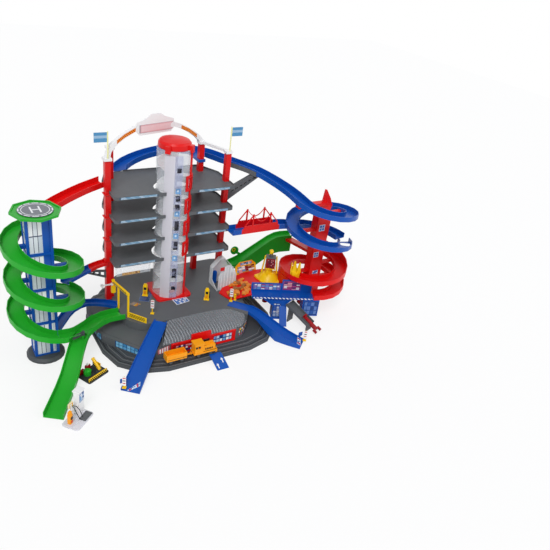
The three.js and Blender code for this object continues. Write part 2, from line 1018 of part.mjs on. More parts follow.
// Clear tube with a doorway to each side at every deck and one at the road
function makeTube() {
  const low = footTop + fitGap;
  const tube = turned(
    0,
    0,
    [
      [liftRadius - liftWall, low],
      [liftRadius, low],
      [liftRadius, liftTop],
      [liftRadius - liftWall, liftTop],
      [liftRadius - liftWall, low],
    ],
    turnSteps,
  );
  const doors = [spoke(0, 0, doorAngle, liftRadius / 2, liftRadius + cutOver, doorWidth, low, low + doorHeight)];
  for (const level of deckLevels) {
    for (const heading of [doorAngle, 180 - doorAngle]) {
      doors.push(spoke(0, 0, heading, liftRadius / 2, liftRadius + cutOver, doorWidth, level, level + doorHeight));
    }
  }
  return cut(tube, doors);
}
addPart("lift_tube", makeTube(), clear);

// Screw: a core with a falling flight that lifts cars as it turns
function makeScrew() {
  const r = liftRadius - liftWall - fitGap - runGap;
  const inner = screwCore - flightThickness;
  const section = [
    [inner, -flightThickness],
    [r, -flightThickness],
    [r, 0],
    [inner, 0],
  ];
  const low = footTop + flightFoot + flightThickness;
  const turns = (flightTop - low) / screwPitch;
  const flight = sweep(
    stationsRound(0, 0, 0, 0, 360 * turns, (angle) => flightTop - (screwPitch * angle) / 360, section, roundSteps),
  );
  const core = post(0, 0, screwCore, footTop + fitGap, screwTop, roundSteps);
  return core.add(flight);
}
addPart("lift_screw", makeScrew(), white);

// White guide down the front of the tube, with a band of windows
function makeGuide() {
  const r0 = liftRadius + runGap;
  const guide = arcWall(0, 0, r0, liftRadius + guideDepth, guideStart, guideEnd, footTop + fitGap, guideTop, 8);
  const windows = [];
  for (const level of deckLevels) {
    for (const drop of [0, screwPitch / 2]) {
      const tall = drop ? guideWindowTall / 2 : guideWindowTall;
      const low = level - drop - guideWindowTall / 2 + deckLip;
      windows.push(spoke(0, 0, guideWindowAngle, liftRadius / 2, liftRadius * 2, guideWindow, low, low + tall));
    }
  }
  const first = deckLevels[0] - screwPitch;
  for (const low of [first - guideWindowTall * 2, first - guideWindowTall / 2]) {
    windows.push(spoke(0, 0, guideWindowAngle, liftRadius / 2, liftRadius * 2, guideWindow, low, low + guideWindowTall));
  }
  return cut(guide, windows);
}
addPart("lift_guide", makeGuide(), white);

// Red cap with its socket for the screw and two nubs over the guide and the rail
function makeCap() {
  const low = liftTop + fitGap;
  const high = liftTop + capHeight;
  const skirt = liftRadius + runGap;
  const reach = liftRadius + capNubReach;
  const dome = turned(0, 0, [
    [0, low],
    [capRadius - shellWall / 2, low],
    [capRadius, low + shellWall],
    [capRadius - shellWall / 2, high - capSkirt * 2],
    [capRadius - capSkirt, high - capSkirt],
    [capRadius / 2, high - shellWall / 2],
    [0, high],
  ]);
  const nubs = nubAngles.flatMap((heading) => [
    spoke(0, 0, heading, capRadius / 2, reach, capNubWidth, low, high - capNubDrop),
    spoke(0, 0, heading, skirt + fitGap, reach, capNubWidth, gateRailTop + fitGap, high - capNubDrop),
  ]);
  return join([dome, ...nubs]);
}
addPart("lift_cap", makeCap(), red);

// Posts with a collar under each deck
function makePost(x, y, flange) {
  const h = postWidth / 2;
  const c = h + postCollar;
  const pieces = [box(x - h, x + h, y - h, y + h, roadHeight, postTop)];
  for (const level of deckLevels) {
    const under = level + deckLip - deckEdge;
    pieces.push(box(x - c, x + c, y - c, y + c, under - postCollarHeight, under));
  }
  if (flange) {
    pieces.push(box(x, x + h + frontFlange, y + h - shellWall * 2, y + h, roadHeight, frontFlangeTop));
  }
  return join(pieces);
}
for (const [name, [x, y]] of Object.entries(postPlaces)) {
  addPart(name, makePost(x, y, name === "post_front_left"), red);
}

// Parking decks: a lipped tray with a hollow underside, open round the lift and at each track's landing
function makeDeck(level, openings) {
  const low = level + deckLip - deckEdge;
  const outer = prism(rounded(deckCorners, 0, deckBend), low, level + deckLip);
  const above = prism(rounded(deckCorners, shellWall, deckBend), level, level + deckLip + cutOver);
  const below = prism(rounded(deckCorners, shellWall, deckBend), low - cutOver, level - deckFloor);
  const round = post(0, 0, deckNotch, low - cutOver, level + deckLip + cutOver, turnSteps);
  const postCuts = Object.values(postPlaces).map(([x, y]) => {
    const h = postWidth / 2 + fitGap;
    return box(x - h, x + h, y - h, y + h, low - cutOver, level + deckLip + cutOver);
  });
  return cut(outer, [above, below, round, ...postCuts, ...openings]);
}
const rimHigh = deckLip + cutOver;
const sideHalf = trackWidth / 2 - trackWall;
function sideOpening(level, y) {
  return box(-baseLeft, deckCorners[0][0] + shellWall + fitGap, y - sideHalf, y + sideHalf, level, level + rimHigh);
}
function backOpening(level, x) {
  return box(x - sideHalf, x + sideHalf, deckCorners[4][1] - shellWall - fitGap, baseBack, level, level + rimHigh);
}
function frontOpening(level, x0, x1) {
  return box(x0, x1, -baseFront, shellWall + fitGap - deckFront, level, level + rimHigh);
}
addPart("deck_1", makeDeck(deckLevels[0], []), grey);
addPart("deck_2", makeDeck(deckLevels[1], [frontOpening(deckLevels[1], bridgeStartX - trackWidth / 2, deckCorners[1][0] - deckCorners[1][2])]), grey);
addPart("deck_3", makeDeck(deckLevels[2], []), grey);
addPart("deck_4", makeDeck(deckLevels[3], [sideOpening(deckLevels[3], upperTrackStartY), backOpening(deckLevels[3], arcStartX)]), grey);

const clearOfDecks = prism(rounded(deckCorners, -fitGap, deckBend), 0, postTop);

// Blank white board that hangs under the first deck
function makeSignBoard() {
  const high = deckLevels[0] + deckLip - deckEdge - fitGap;
  const low = high - signBoardHeight;
  const front = -deckFront;
  return join([
    box(signBoardLeft, signBoardRight, front, front + signBoardThickness, low, high),
    box(signBoardLeft, signBoardLeft + signBoardThickness, front, front + signBoardReturn, low, high),
    box(signBoardRight - signBoardThickness, signBoardRight, front, front + signBoardReturn, low, high),
    box(signBoardLeft, signBoardRight, front, front + signBoardReturn, high - signBoardThickness, high),
  ]);
}
addPart("deck_sign_board", makeSignBoard(), white);

// White arch from the left front post to the right back post, with two side beams and a bare sign plate
function makeArch() {
  const [x0, y0] = postPlaces.post_front_left;
  const [x1, y1] = postPlaces.post_back_right;
  const foot = postTop + fitGap + archFootHeight / 2;
  const at = (share, rise) => [THREE.MathUtils.lerp(x0, x1, share), THREE.MathUtils.lerp(y0, y1, share), foot + rise * archRise];
  const curve = curveThrough(archShares.map(([share, rise]) => at(share, rise)));
  const run = new THREE.Vector2(x1 - x0, y1 - y0).normalize();
  const side = new THREE.Vector2(run.y, -run.x);
  const steps = 20;
  const stations = [];
  for (let i = 0; i <= steps; i++) {
    const u = i / steps;
    const point = curve.getPointAt(u);
    const tangent = curve.getTangentAt(u);
    const level = Math.hypot(tangent.x, tangent.y);
    const h = archHeight / 2;
    const lean = [-tangent.z * h, level * h];
    stations.push({ point, lean });
  }
  const position = [];
  const index = [];
  const half = archDepth / 2;
  for (const { point, lean } of stations) {
    for (const [across, up] of [
      [-half, -1],
      [half, -1],
      [half, 1],
      [-half, 1],
    ]) {
      position.push(
        point.x + side.x * across + run.x * lean[0] * up,
        point.y + side.y * across + run.y * lean[0] * up,
        point.z + lean[1] * up,
      );
    }
  }
  for (let i = 0; i < steps; i++) {
    for (let j = 0; j < 4; j++) {
      const a = i * 4 + j;
      const b = i * 4 + ((j + 1) % 4);
      index.push(a, b + 4, b, a, a + 4, b + 4);
    }
  }
  const last = steps * 4;
  index.push(0, 1, 2, 0, 2, 3, last, last + 2, last + 1, last, last + 3, last + 2);
  const band = new THREE.BufferGeometry();
  band.setAttribute("position", new THREE.BufferAttribute(new Float32Array(position), 3));
  band.setIndex(index);
  const pieces = [solid(band)];
  const low = postTop + fitGap;
  for (const [x, y] of Object.values(postPlaces)) {
    pieces.push(box(x - archFoot / 2, x + archFoot / 2, y - archFoot / 2, y + archFoot / 2, low, low + archFootHeight));
  }
  for (const [front, back] of [
    [postPlaces.post_front_left, postPlaces.post_back_left],
    [postPlaces.post_front_right, postPlaces.post_back_right],
  ]) {
    const heading = THREE.MathUtils.radToDeg(Math.atan2(back[1] - front[1], back[0] - front[0]));
    const reach = Math.hypot(back[1] - front[1], back[0] - front[0]);
    pieces.push(spoke(front[0], front[1], heading, 0, reach, sideBeamWidth, low, low + sideBeamHeight));
  }
  const heading = THREE.MathUtils.radToDeg(Math.atan2(run.y, run.x));
  const middle = at(signPlateShare, 1);
  const w = signPlateWidth / 2;
  const low1 = middle[2] - signPlateHeight / 2;
  const high1 = middle[2] + signPlateHeight / 2;
  const outline = [
    [-w + signPlateCrown, low1],
    [w - signPlateCrown, low1],
    [w, low1 + signPlateCrown],
    [w, high1 - signPlateCrown * 2],
    [w / 2, high1 - signPlateCrown],
    [w / 4, high1],
    [-w / 4, high1],
    [-w / 2, high1 - signPlateCrown],
    [-w, high1 - signPlateCrown * 2],
    [-w, low1 + signPlateCrown],
  ];
  const shape = new THREE.Shape(outline.map(([x, z]) => new THREE.Vector2(x, z)));
  const plate = new THREE.ExtrudeGeometry(shape, { depth: signPlateThickness, bevelEnabled: false });
  plate.rotateX(Math.PI / 2);
  plate.translate(0, shellWall - archDepth / 2, 0);
  plate.rotateZ(THREE.MathUtils.degToRad(heading));
  plate.translate(middle[0], middle[1], 0);
  pieces.push(solid(plate));
  return join(pieces).subtract(box(-baseLeft, baseRight, -baseFront, baseBack, 0, postTop + fitGap));
}
addPart("arch", makeArch(), white);

// Flags on poles that stand on the arch's front feet
function makeFlag([x, y], way) {
  const low = postTop + fitGap + archFootHeight + fitGap;
  const y0 = y - archDepth;
  const pole = post(x, y0 + archDepth / 4, poleRadius, low, low + poleHeight, 8);
  const high = low + poleHeight;
  const x0 = Math.min(x, x + way * flagWidth);
  const x1 = Math.max(x, x + way * flagWidth);
  const mid = y0 + archDepth / 4;
  const flag = box(x0, x1, mid - flagThickness / 2, mid + flagThickness / 2, high - flagHeight, high - shellWall);
  return pole.add(flag);
}
addPart("flag_left", makeFlag(postPlaces.post_front_left, -1), blue);
addPart("flag_right", makeFlag(postPlaces.post_front_right, 1), blue);

// Left tower: round foot, hollow column with framed faces, arms to the green track, landing pad on top
const columnX = leftX + leftColumnShift;
const greenHeight = (angle) => {
  const past = angle - greenTopAngle;
  return greenTop - (greenPitch * past) / 360 + greenSway * (Math.cos(THREE.MathUtils.degToRad(past)) - 1);
};
addPart(
  "left_foot",
  turned(columnX, leftY, [
    [0, 0],
    [leftFootRadius, 0],
    [leftFootRadius, leftFootHeight / 2],
    [leftFootRadius - leftFootHeight / 2, leftFootHeight],
    [0, leftFootHeight],
  ]),
  darkGrey,
);
function makeLeftColumn() {
  const w = leftColumnWide / 2;
  const d = leftColumnDeep / 2;
  const low = leftFootHeight;
  const outer = box(columnX - w, columnX + w, leftY - d, leftY + d, low, leftColumnTop);
  const wall = leftPanelDepth + shellWall;
  const inner = box(columnX - w + wall, columnX + w - wall, leftY - d + wall, leftY + d - wall, low - cutOver, leftColumnTop - shellWall);
  const bay = (leftColumnTop - low) / leftCrossBars;
  const panels = [];
  for (let i = 0; i < leftCrossBars; i++) {
    const z0 = low + bay * i + leftFrame / 2;
    const z1 = low + bay * (i + 1) - leftFrame / 2;
    panels.push(
      box(columnX - w + leftFrame, columnX + w - leftFrame, leftY - d - cutOver, leftY - d + leftPanelDepth, z0, z1),
      box(columnX - w + leftFrame, columnX + w - leftFrame, leftY + d - leftPanelDepth, leftY + d + cutOver, z0, z1),
      box(columnX - w - cutOver, columnX - w + leftPanelDepth, leftY - d + leftFrame, leftY + d - leftFrame, z0, z1),
      box(columnX + w - leftPanelDepth, columnX + w + cutOver, leftY - d + leftFrame, leftY + d - leftFrame, z0, z1),
    );
  }
  const seat = (greenRadius - trackWidth / 2) * Math.cos(Math.PI / turnSteps) - runGap - fitGap;
  const arms = [];
  for (const angle of [180, 360, 540, 720, 900]) {
    const z = greenHeight(angle) - trackFloor;
    const reach = angle % 360 ? w - leftColumnShift : w + leftColumnShift;
    arms.push(spoke(leftX, leftY, angle, reach - wall, seat, armHeight, z, z + armHeight));
  }
  return join([cut(outer, [inner, ...panels]), ...arms]);
}
addPart("left_column", makeLeftColumn(), blue);
addPart(
  "helipad",
  turned(
    columnX,
    leftY,
    [
      [0, leftColumnTop + fitGap],
      [helipadHub, leftColumnTop + fitGap],
      [helipadRadius, leftColumnTop + helipadThickness / 2],
      [helipadRadius, leftColumnTop + helipadThickness + helipadRim],
      [helipadRadius - helipadRimWidth, leftColumnTop + helipadThickness + helipadRim],
      [helipadRadius - helipadRimWidth, leftColumnTop + helipadThickness],
      [0, leftColumnTop + helipadThickness],
    ],
    8,
  ),
  green,
);

// Red lower track meets the green track here
function roundPoint(x, y, radius, angle, z) {
  const a = THREE.MathUtils.degToRad(angle);
  return [x + radius * Math.cos(a), y + radius * Math.sin(a), z];
}
const greenOuter = greenRadius + trackWidth / 2;
const lowerEndZ = greenHeight(lowerTrackTurn) + shellWall;
const lowerEnd = roundPoint(leftX, leftY, greenOuter + fitGap, lowerTrackEndAngle, lowerEndZ);
const greenSection = channel(trackWidth);
function makeGreenSpiral() {
  const spiral = sweep(stationsRound(leftX, leftY, greenRadius, greenStart, greenEnd, greenHeight, greenSection));
  const gateway = spoke(leftX, leftY, lowerTrackEndAngle, greenRadius, greenOuter + cutOver, sideHalf * 2, lowerEndZ, lowerEndZ + trackSide * 2);
  return spiral.subtract(gateway);
}
addPart("green_spiral", makeGreenSpiral(), green);

// Fork: from the spiral's end to the road, and from there down to the floor
const forkHead = roundPoint(leftX, leftY, greenRadius, greenEnd, greenHeight(greenEnd));
const headWay = THREE.MathUtils.degToRad(greenEnd + 90);
const forkRoadCurve = curveThrough([
  forkHead,
  [forkHead[0] + trackWidth * Math.cos(headWay), forkHead[1] + trackWidth * Math.sin(headWay), (forkHead[2] + forkMeetZ) / 2 + shellWall],
  [forkMeetX, forkMeetY, forkMeetZ],
  [(forkMeetX + forkRoadX) / 2, forkRoadY - trackSide, (forkMeetZ + forkRoadZ) / 2],
  [forkRoadX, forkRoadY, forkRoadZ],
]);
const forkFloorCurve = curveThrough([
  [(forkMeetX * 2 + forkRoadX) / 3, (forkMeetY + forkRoadY) / 2, forkMeetZ - trackFloor / 2],
  [forkMeetX - trackSide, forkMeetY - trackSide, forkMeetZ - trackFloor / 4],
  [forkMeetX - trackWidth, forkMeetY - trackWidth - trackSide, forkMeetZ - trackSide / 2],
  [THREE.MathUtils.lerp(forkMeetX, forkFloorX, 0.6), THREE.MathUtils.lerp(forkMeetY, forkFloorY, 0.6), forkMeetZ / 2 - trackSide],
  [forkFloorX, forkFloorY, forkFloorZ],
]);
const flapPoint = forkRoadCurve.getPointAt(flapShare);
const flapRun = forkRoadCurve.getTangentAt(flapShare).setZ(0).normalize();
const flapX = flapPoint.x + flapRun.y * flapAside;
const flapY = flapPoint.y - flapRun.x * flapAside;
const flapZ = flapPoint.z + shellWall;
function makeFork() {
  const roadLine = forkRoadCurve.getPoints(9);
  roadLine[0].set(forkHead[0] + fitGap * Math.cos(headWay), forkHead[1] + fitGap * Math.sin(headWay), forkHead[2]);
  const floorLine = forkFloorCurve.getPoints(11);
  const widthAt = (share) => THREE.MathUtils.lerp(trackWidth, forkMouthWidth, Math.max(0, share * 2 - 1));
  const roomAt = (width, low) => block(trackWall - width / 2, width / 2 - trackWall, low, trackSide + cutOver);
  const pastEnd = (line, reach) => {
    const longer = line.map((p) => p.clone());
    const n = longer.length;
    longer[n - 1].add(longer[n - 1].clone().sub(longer[n - 2]).setZ(0).setLength(reach));
    longer[0].add(longer[0].clone().sub(longer[1]).setZ(0).setLength(reach));
    return longer;
  };
  const mouth = floorLine.slice(0, 7).map((p) => new THREE.Vector3(p.x, p.y, forkMeetZ + (forkMeetX - p.x) * forkMouthRise));
  const mouthRoom = sweep(stationsAlong(mouth, () => roomAt(trackWidth - runGap, fitGap)));
  const passRoom = sweep(stationsAlong(pastEnd(roadLine, cutOver), () => roomAt(trackWidth - runGap, -fitGap)));
  const toRoad = sweep(stationsAlong(roadLine, () => channel(trackWidth)));
  const toFloor = sweep(stationsAlong(floorLine, (share) => channel(widthAt(share))));
  const boss = post(flapX, flapY, flapHub, flapPoint.z - trackSide, flapZ, 12);
  const spiral = roundRoom(leftX, leftY, greenRadius, greenEnd, greenEnd - joinSweep, greenHeight);
  return join([cut(toRoad, [mouthRoom, spiral]), cut(toFloor, [passRoom]), boss]);
}
addPart("green_fork", makeFork(), green);

// Flap that sends cars to the road or to the floor
const flapGroup = new THREE.Group();
flapGroup.position.set(flapX, flapY, flapZ + fitGap);
flapGroup.rotation.z = THREE.MathUtils.degToRad(flapHeading);
garage.add(flapGroup);
addPart(
  "diverter_flap",
  join([
    post(0, 0, flapHub, 0, flapHeight, 12),
    box(0, flapLength, -flapThickness / 2, flapThickness / 2, shellWall / 2, flapHeight),
  ]),
  darkGrey,
  flapGroup,
);

// Red track from the fourth deck to the top of the green track
const upperEnd = roundPoint(leftX, leftY, greenRadius, greenStart, greenHeight(greenStart));
const upperWay = THREE.MathUtils.degToRad(greenStart + 90);
const upperCurve = curveThrough([
  [upperTrackStartX, upperTrackStartY, deckLevels[3]],
  [THREE.MathUtils.lerp(upperTrackStartX, upperEnd[0], 0.3), upperTrackStartY - trackSide, deckLevels[3] - trackSide],
  [THREE.MathUtils.lerp(upperTrackStartX, upperEnd[0], 0.7), (upperTrackStartY + upperEnd[1]) / 2, (deckLevels[3] + upperEnd[2] * 2) / 3],
  [upperEnd[0] - (trackWidth / 2) * Math.cos(upperWay), upperEnd[1] - (trackWidth / 2) * Math.sin(upperWay), upperEnd[2] + trackFloor],
  [upperEnd[0] - fitGap * Math.cos(upperWay), upperEnd[1] - fitGap * Math.sin(upperWay), upperEnd[2]],
]);
const upperTrack = sweep(stationsAlong(upperCurve.getPoints(14), greenSection));
addPart("red_track_upper", cut(upperTrack, [clearOfDecks, roundRoom(leftX, leftY, greenRadius, greenStart, greenStart + joinSweep, greenHeight)]), red);

// Red track from the first deck to the green track's second turn, with the grey lattice under it
const [lowerPostX, lowerPostY] = postPlaces.post_front_left;
const lowerCurve = curveThrough([
  [lowerPostX - postWidth / 4, lowerPostY, lowerTrackZ],
  [THREE.MathUtils.lerp(lowerPostX, lowerEnd[0], 0.3), lowerPostY - fitGap * 10, THREE.MathUtils.lerp(lowerTrackZ, lowerEnd[2], 0.3)],
  [THREE.MathUtils.lerp(lowerPostX, lowerEnd[0], 0.65), (lowerPostY + lowerEnd[1]) / 2, THREE.MathUtils.lerp(lowerTrackZ, lowerEnd[2], 0.65)],
  lowerEnd,
]);
const lowerLine = lowerCurve.getPoints(12);
const lowerSpiral = roundRoom(leftX, leftY, greenRadius, greenStart, greenEnd, greenHeight);
const besidePost = postWidth / 2 + fitGap;
const lowerPostRoom = box(lowerPostX - besidePost, lowerPostX + besidePost, lowerPostY - besidePost, lowerPostY + besidePost, 0, postTop);
const lowerSection = channel(linkWidth, trackSide / 2);
addPart("red_track_lower", cut(sweep(stationsAlong(lowerLine, lowerSection)), [lowerPostRoom, clearOfDecks, lowerSpiral]), red);
function makeTruss() {
  const right = lowerPostX - besidePost;
  const left = lowerPostX - trussReach;
  const under = lowerTrackZ - trackFloor;
  const above = lowerLine.find((p) => p.x < left).z - trackFloor - fitGap;
  const chord = (share, deep) => {
    const high = THREE.MathUtils.lerp(under - trussDrop, above, share);
    const low = THREE.MathUtils.lerp(under - trussDrop - trussHeight, above - trussBar * 2, share);
    return [THREE.MathUtils.lerp(right, left, share), deep ? low + trussBar : high - trussBar];
  };
  const beam = [
    [right, under - trussDrop - trussHeight],
    [right, under - trussDrop],
    [left, above],
    [left, above - trussBar * 2],
  ];
  const y = lowerPostY - postWidth / 2 + trussWidth / 2;
  const windows = trussShares.map(([from, to]) =>
    plateXZ([chord(from, true), chord(from, false), chord(to, false), chord(to, true)], y - trussWidth, y + trussWidth),
  );
  return cut(plateXZ(beam, y - trussWidth / 2, y + trussWidth / 2), windows);
}
addPart("left_truss", makeTruss(), grey);

// Blue link from the road block to the left tower
function makeLink() {
  const curve = curveThrough(linkPath);
  const run = sweep(stationsAlong(curve.getPoints(10), channel(linkWidth, trackSide / 2)));
  const w = leftColumnWide / 2 + fitGap;
  const d = leftColumnDeep / 2 + fitGap;
  const column = box(columnX - w, columnX + w, leftY - d, leftY + d, 0, leftColumnTop);
  return cut(run, [column, prism(rounded(roadCorners, -fitGap), 0, roadHeight + fitGap)]);
}
addPart("blue_link", makeLink(), blue);

// Blue arch track from the fourth deck round the back to the right tower
const blueHeight = (angle) => blueTop - (bluePitch * (angle - blueTopAngle)) / 360;
const blueHead = roundPoint(rightX, rightY, rightRadius, blueStart, blueHeight(blueStart));
const arcStart = [arcStartX, deckCorners[4][1] + fitGap, deckLevels[3]];
const arcCurve = curveThrough(route(arcStart, blueHead, arcRise, arcShares));
const arcSteps = 28;
const cradleHeld = cradleShares.map((share) => Math.round(share * arcSteps));
function arcLine(from, to, steps) {
  const points = [];
  for (let i = 0; i <= steps; i++) {
    points.push(arcCurve.getPointAt(THREE.MathUtils.lerp(from, to, i / steps)));
  }
  return points;
}
function makeArcTrack() {
  const line = arcLine(0, 1, arcSteps);
  const way = THREE.MathUtils.degToRad(blueStart + 90);
  line[arcSteps].x -= fitGap * Math.cos(way);
  line[arcSteps].y -= fitGap * Math.sin(way);
  const spiral = roundRoom(rightX, rightY, rightRadius, blueStart, blueStart + joinSweep, blueHeight);
  const track = cut(sweep(stationsAlong(line, greenSection)), [clearOfDecks, spiral]);
  const [px, py] = postPlaces.post_back_right;
  const nearest = arcLine(0, 1, arcSteps * 8).find((p) => p.x > px);
  const h = postWidth / 2;
  const collar = h + postCollar + fitGap;
  const top = nearest.z + trackFloor;
  const clamp = box(px - collar, px + collar, py - collar, nearest.y, top - clampHeight, top);
  const hole = box(px - h - fitGap, px + h + fitGap, py - h - fitGap, py + h + fitGap, top - clampHeight - cutOver, top + cutOver);
  const room = sweep(stationsAlong(line, block(trackWall - trackWidth / 2, trackWidth / 2 - trackWall, 0, trackSide)));
  return track.add(cut(clamp, [hole, room]));
}
addPart("blue_arch_track", makeArcTrack(), blue);

// Grey cradle round the arch track, with a lattice strut down to the third and fourth decks
function makeStrut() {
  const out = trackWidth / 2 + fitGap;
  const under = -trackFloor - fitGap;
  const section = [
    [-out - cradleWall, under - cradleWall],
    [out + cradleWall, under - cradleWall],
    [out + cradleWall, cradleSide],
    [out, cradleSide],
    [out, under],
    [-out, under],
    [-out, cradleSide],
    [-out - cradleWall, cradleSide],
  ];
  const stations = (held, shape) => stationsAlong(arcLine(0, 1, arcSteps), shape).slice(held[0], held[1]);
  const cradle = sweep(stations(cradleHeld, section));
  const head = arcCurve.getPointAt(strutShare);
  const rootX = deckCorners[1][0] + fitGap;
  const rootY = postPlaces.post_front_right[1] + postWidth + postCollar;
  const reach = Math.hypot(head.x - rootX, head.y - rootY);
  const heading = THREE.MathUtils.radToDeg(Math.atan2(head.y - rootY, head.x - rootX));
  const top = head.z + under + cradleSide / 2;
  const low = deckLevels[2] + deckLip - deckEdge;
  const high = deckLevels[3] + deckLip - deckEdge;
  const w = strutWidth;
  const outline = [
    [0, low],
    [w / 2, low],
    [w, low + w / 2],
    [reach + w / 2, top - w / 2],
    [reach + w / 2, top],
    [reach - w, top],
    [w * 1.5, high - w * 1.5],
    [w / 2, high],
    [0, high],
    [0, high - w / 2],
    [w, high - w * 2],
    [0, low + w],
  ];
  const shape = new THREE.Shape(outline.map(([x, z]) => new THREE.Vector2(x, z)));
  const holes = 6;
  const p0 = new THREE.Vector2(w * 1.2, THREE.MathUtils.lerp(low + w, top, 0.22));
  const p1 = new THREE.Vector2(reach - w * 0.55, top - w * 0.62);
  for (let i = 0; i < holes; i++) {
    const a = p0.clone().lerp(p1, (i + 0.1) / holes);
    const b = p0.clone().lerp(p1, (i + 0.75) / holes);
    const up = w * 0.17;
    shape.holes.push(
      new THREE.Path([
        new THREE.Vector2(a.x, a.y - up),
        new THREE.Vector2(b.x, b.y - up),
        new THREE.Vector2(b.x, b.y + up),
        new THREE.Vector2(a.x, a.y + up),
      ]),
    );
  }
  const geometry = new THREE.ExtrudeGeometry(shape, { depth: strutDepth, bevelEnabled: false });
  geometry.rotateX(Math.PI / 2).translate(0, strutDepth / 2, 0);
  geometry.rotateZ(THREE.MathUtils.degToRad(heading)).translate(rootX, rootY, 0);
  const beyond = box(-baseLeft, rootX, -baseFront, baseBack, 0, postTop);
  const room = sweep(stations([cradleHeld[0] - 2, cradleHeld[1] + 3], block(-out, out, under, trackSide)));
  return cut(solid(geometry).add(cradle), [beyond, room]);
}
addPart("right_strut", makeStrut(), grey);

// Middle line of the green jump ramp
const jumpStart = [jumpStartX, jumpStartY, roadHeight + trackFloor + fitGap];
const jumpEnd = [jumpEndX, jumpEndY, jumpStart[2]];
const jumpCurve = curveThrough(route(jumpStart, jumpEnd, jumpEndZ - jumpStart[2], jumpShares));
const jumpLine = jumpCurve.getPoints(12);

// Right tower: tapered red column with arms to the tracks and a sail on top
function redHeight(angle) {
  const next = redStations.findIndex(([a]) => a <= angle);
  if (next <= 0) {
    return redStations[0][1];
  }
  const [a0, z0] = redStations[next - 1];
  const [a1, z1] = redStations[next];
  return THREE.MathUtils.lerp(z0, z1, (a0 - angle) / (a0 - a1));
}
function makeRightColumn() {
  const w = rightColumnWide / 2;
  const d = rightColumnDeep / 2;
  const outer = sweep([
    { at: new THREE.Vector3(rightX, rightY - d, 0), side: new THREE.Vector2(1, 0), section: columnOutline(w) },
    { at: new THREE.Vector3(rightX, rightY + d, 0), side: new THREE.Vector2(1, 0), section: columnOutline(w) },
  ]);
  const wall = shellWall;
  const inner = box(
    rightX - w * 0.78,
    rightX + w * 0.78,
    rightY - d + wall,
    rightY + d - wall,
    -cutOver,
    rightColumnTop * 0.62,
  );
  const seat = (rightRadius - trackWidth / 2) * Math.cos(Math.PI / turnSteps) - runGap - fitGap;
  const arms = [
    [0, blueHeight(0)],
    [180, blueHeight(180)],
    [0, redHeight(0)],
    [0, redHeight(-360)],
    [180, redHeight(-180)],
  ].map(([heading, z]) => spoke(rightX, rightY, heading, w / 2, seat, armWidth / 2, z - trackFloor, z - trackFloor + armHeight));
  const upperZ = blueHeight(blueStart) - trackFloor - fitGap * 2 - trackFloor;
  arms.push(spoke(rightX, rightY, 180, -w / 4, rightRadius + trackWidth / 4, armWidth, upperZ - armHeight, upperZ));
  const jumpZ = jumpEndZ - trackFloor - fitGap;
  arms.push(
    plateYZ(
      [
        [rightY + d - wall, jumpZ + armRise - armHeight],
        [jumpEndY - trackWidth / 2 + armHeight, jumpZ - armHeight],
        [jumpEndY - trackWidth / 2 + armHeight, jumpZ],
        [rightY + d - wall, jumpZ + armRise],
      ],
      rightX - armWidth / 4,
      rightX + armWidth,
    ),
  );
  const ramp = sweep(stationsAlong(jumpLine, block(-trackWidth / 2 - fitGap, trackWidth / 2 + fitGap, -jumpSkirt - fitGap, trackSide)));
  return join([outer.subtract(inner), ...arms, makeFin()]).subtract(ramp);
}
function columnOutline(w) {
  return [
    [-w * 1.12, 0],
    [w * 1.12, 0],
    [w * 0.94, rightColumnTop * 0.3],
    [w * 0.84, rightColumnTop * 0.62],
    [w, rightColumnTop * 0.86],
    [w, rightColumnTop],
    [-w * 0.9, rightColumnTop],
    [-w * 0.9, rightColumnTop * 0.86],
    [-w * 0.84, rightColumnTop * 0.62],
    [-w * 0.94, rightColumnTop * 0.3],
  ];
}
function makeFin() {
  const x0 = rightX - finWidth * 0.3;
  const z0 = rightColumnTop - shellWall;
  const points = [
    [x0, z0],
    [x0 + finWidth * 0.88, z0],
    [x0 + finWidth, z0 + finHeight * 0.3],
    [x0 + finWidth * 0.74, z0 + finHeight * 0.62],
    [x0 + finWidth * 0.3, z0 + finHeight],
    [x0 + finWidth * 0.2, z0 + finHeight],
  ];
  return plateXZ(points, rightY - finThickness / 2, rightY + finThickness / 2);
}
addPart("right_column", makeRightColumn(), red);

// Blue track round the right tower, with a drop hole in its last stretch
function makeBlueSpiral() {
  const spiral = sweep(stationsRound(rightX, rightY, rightRadius, blueStart, blueEnd, blueHeight, greenSection));
  const z = blueHeight(dropAngle);
  const half = dropSize / 2;
  const hole = spoke(rightX, rightY, dropAngle, rightRadius - half, rightRadius + half, dropSize, z - trackSide, z + trackSide / 2);
  return spiral.subtract(hole);
}
addPart("blue_spiral", makeBlueSpiral(), blue);

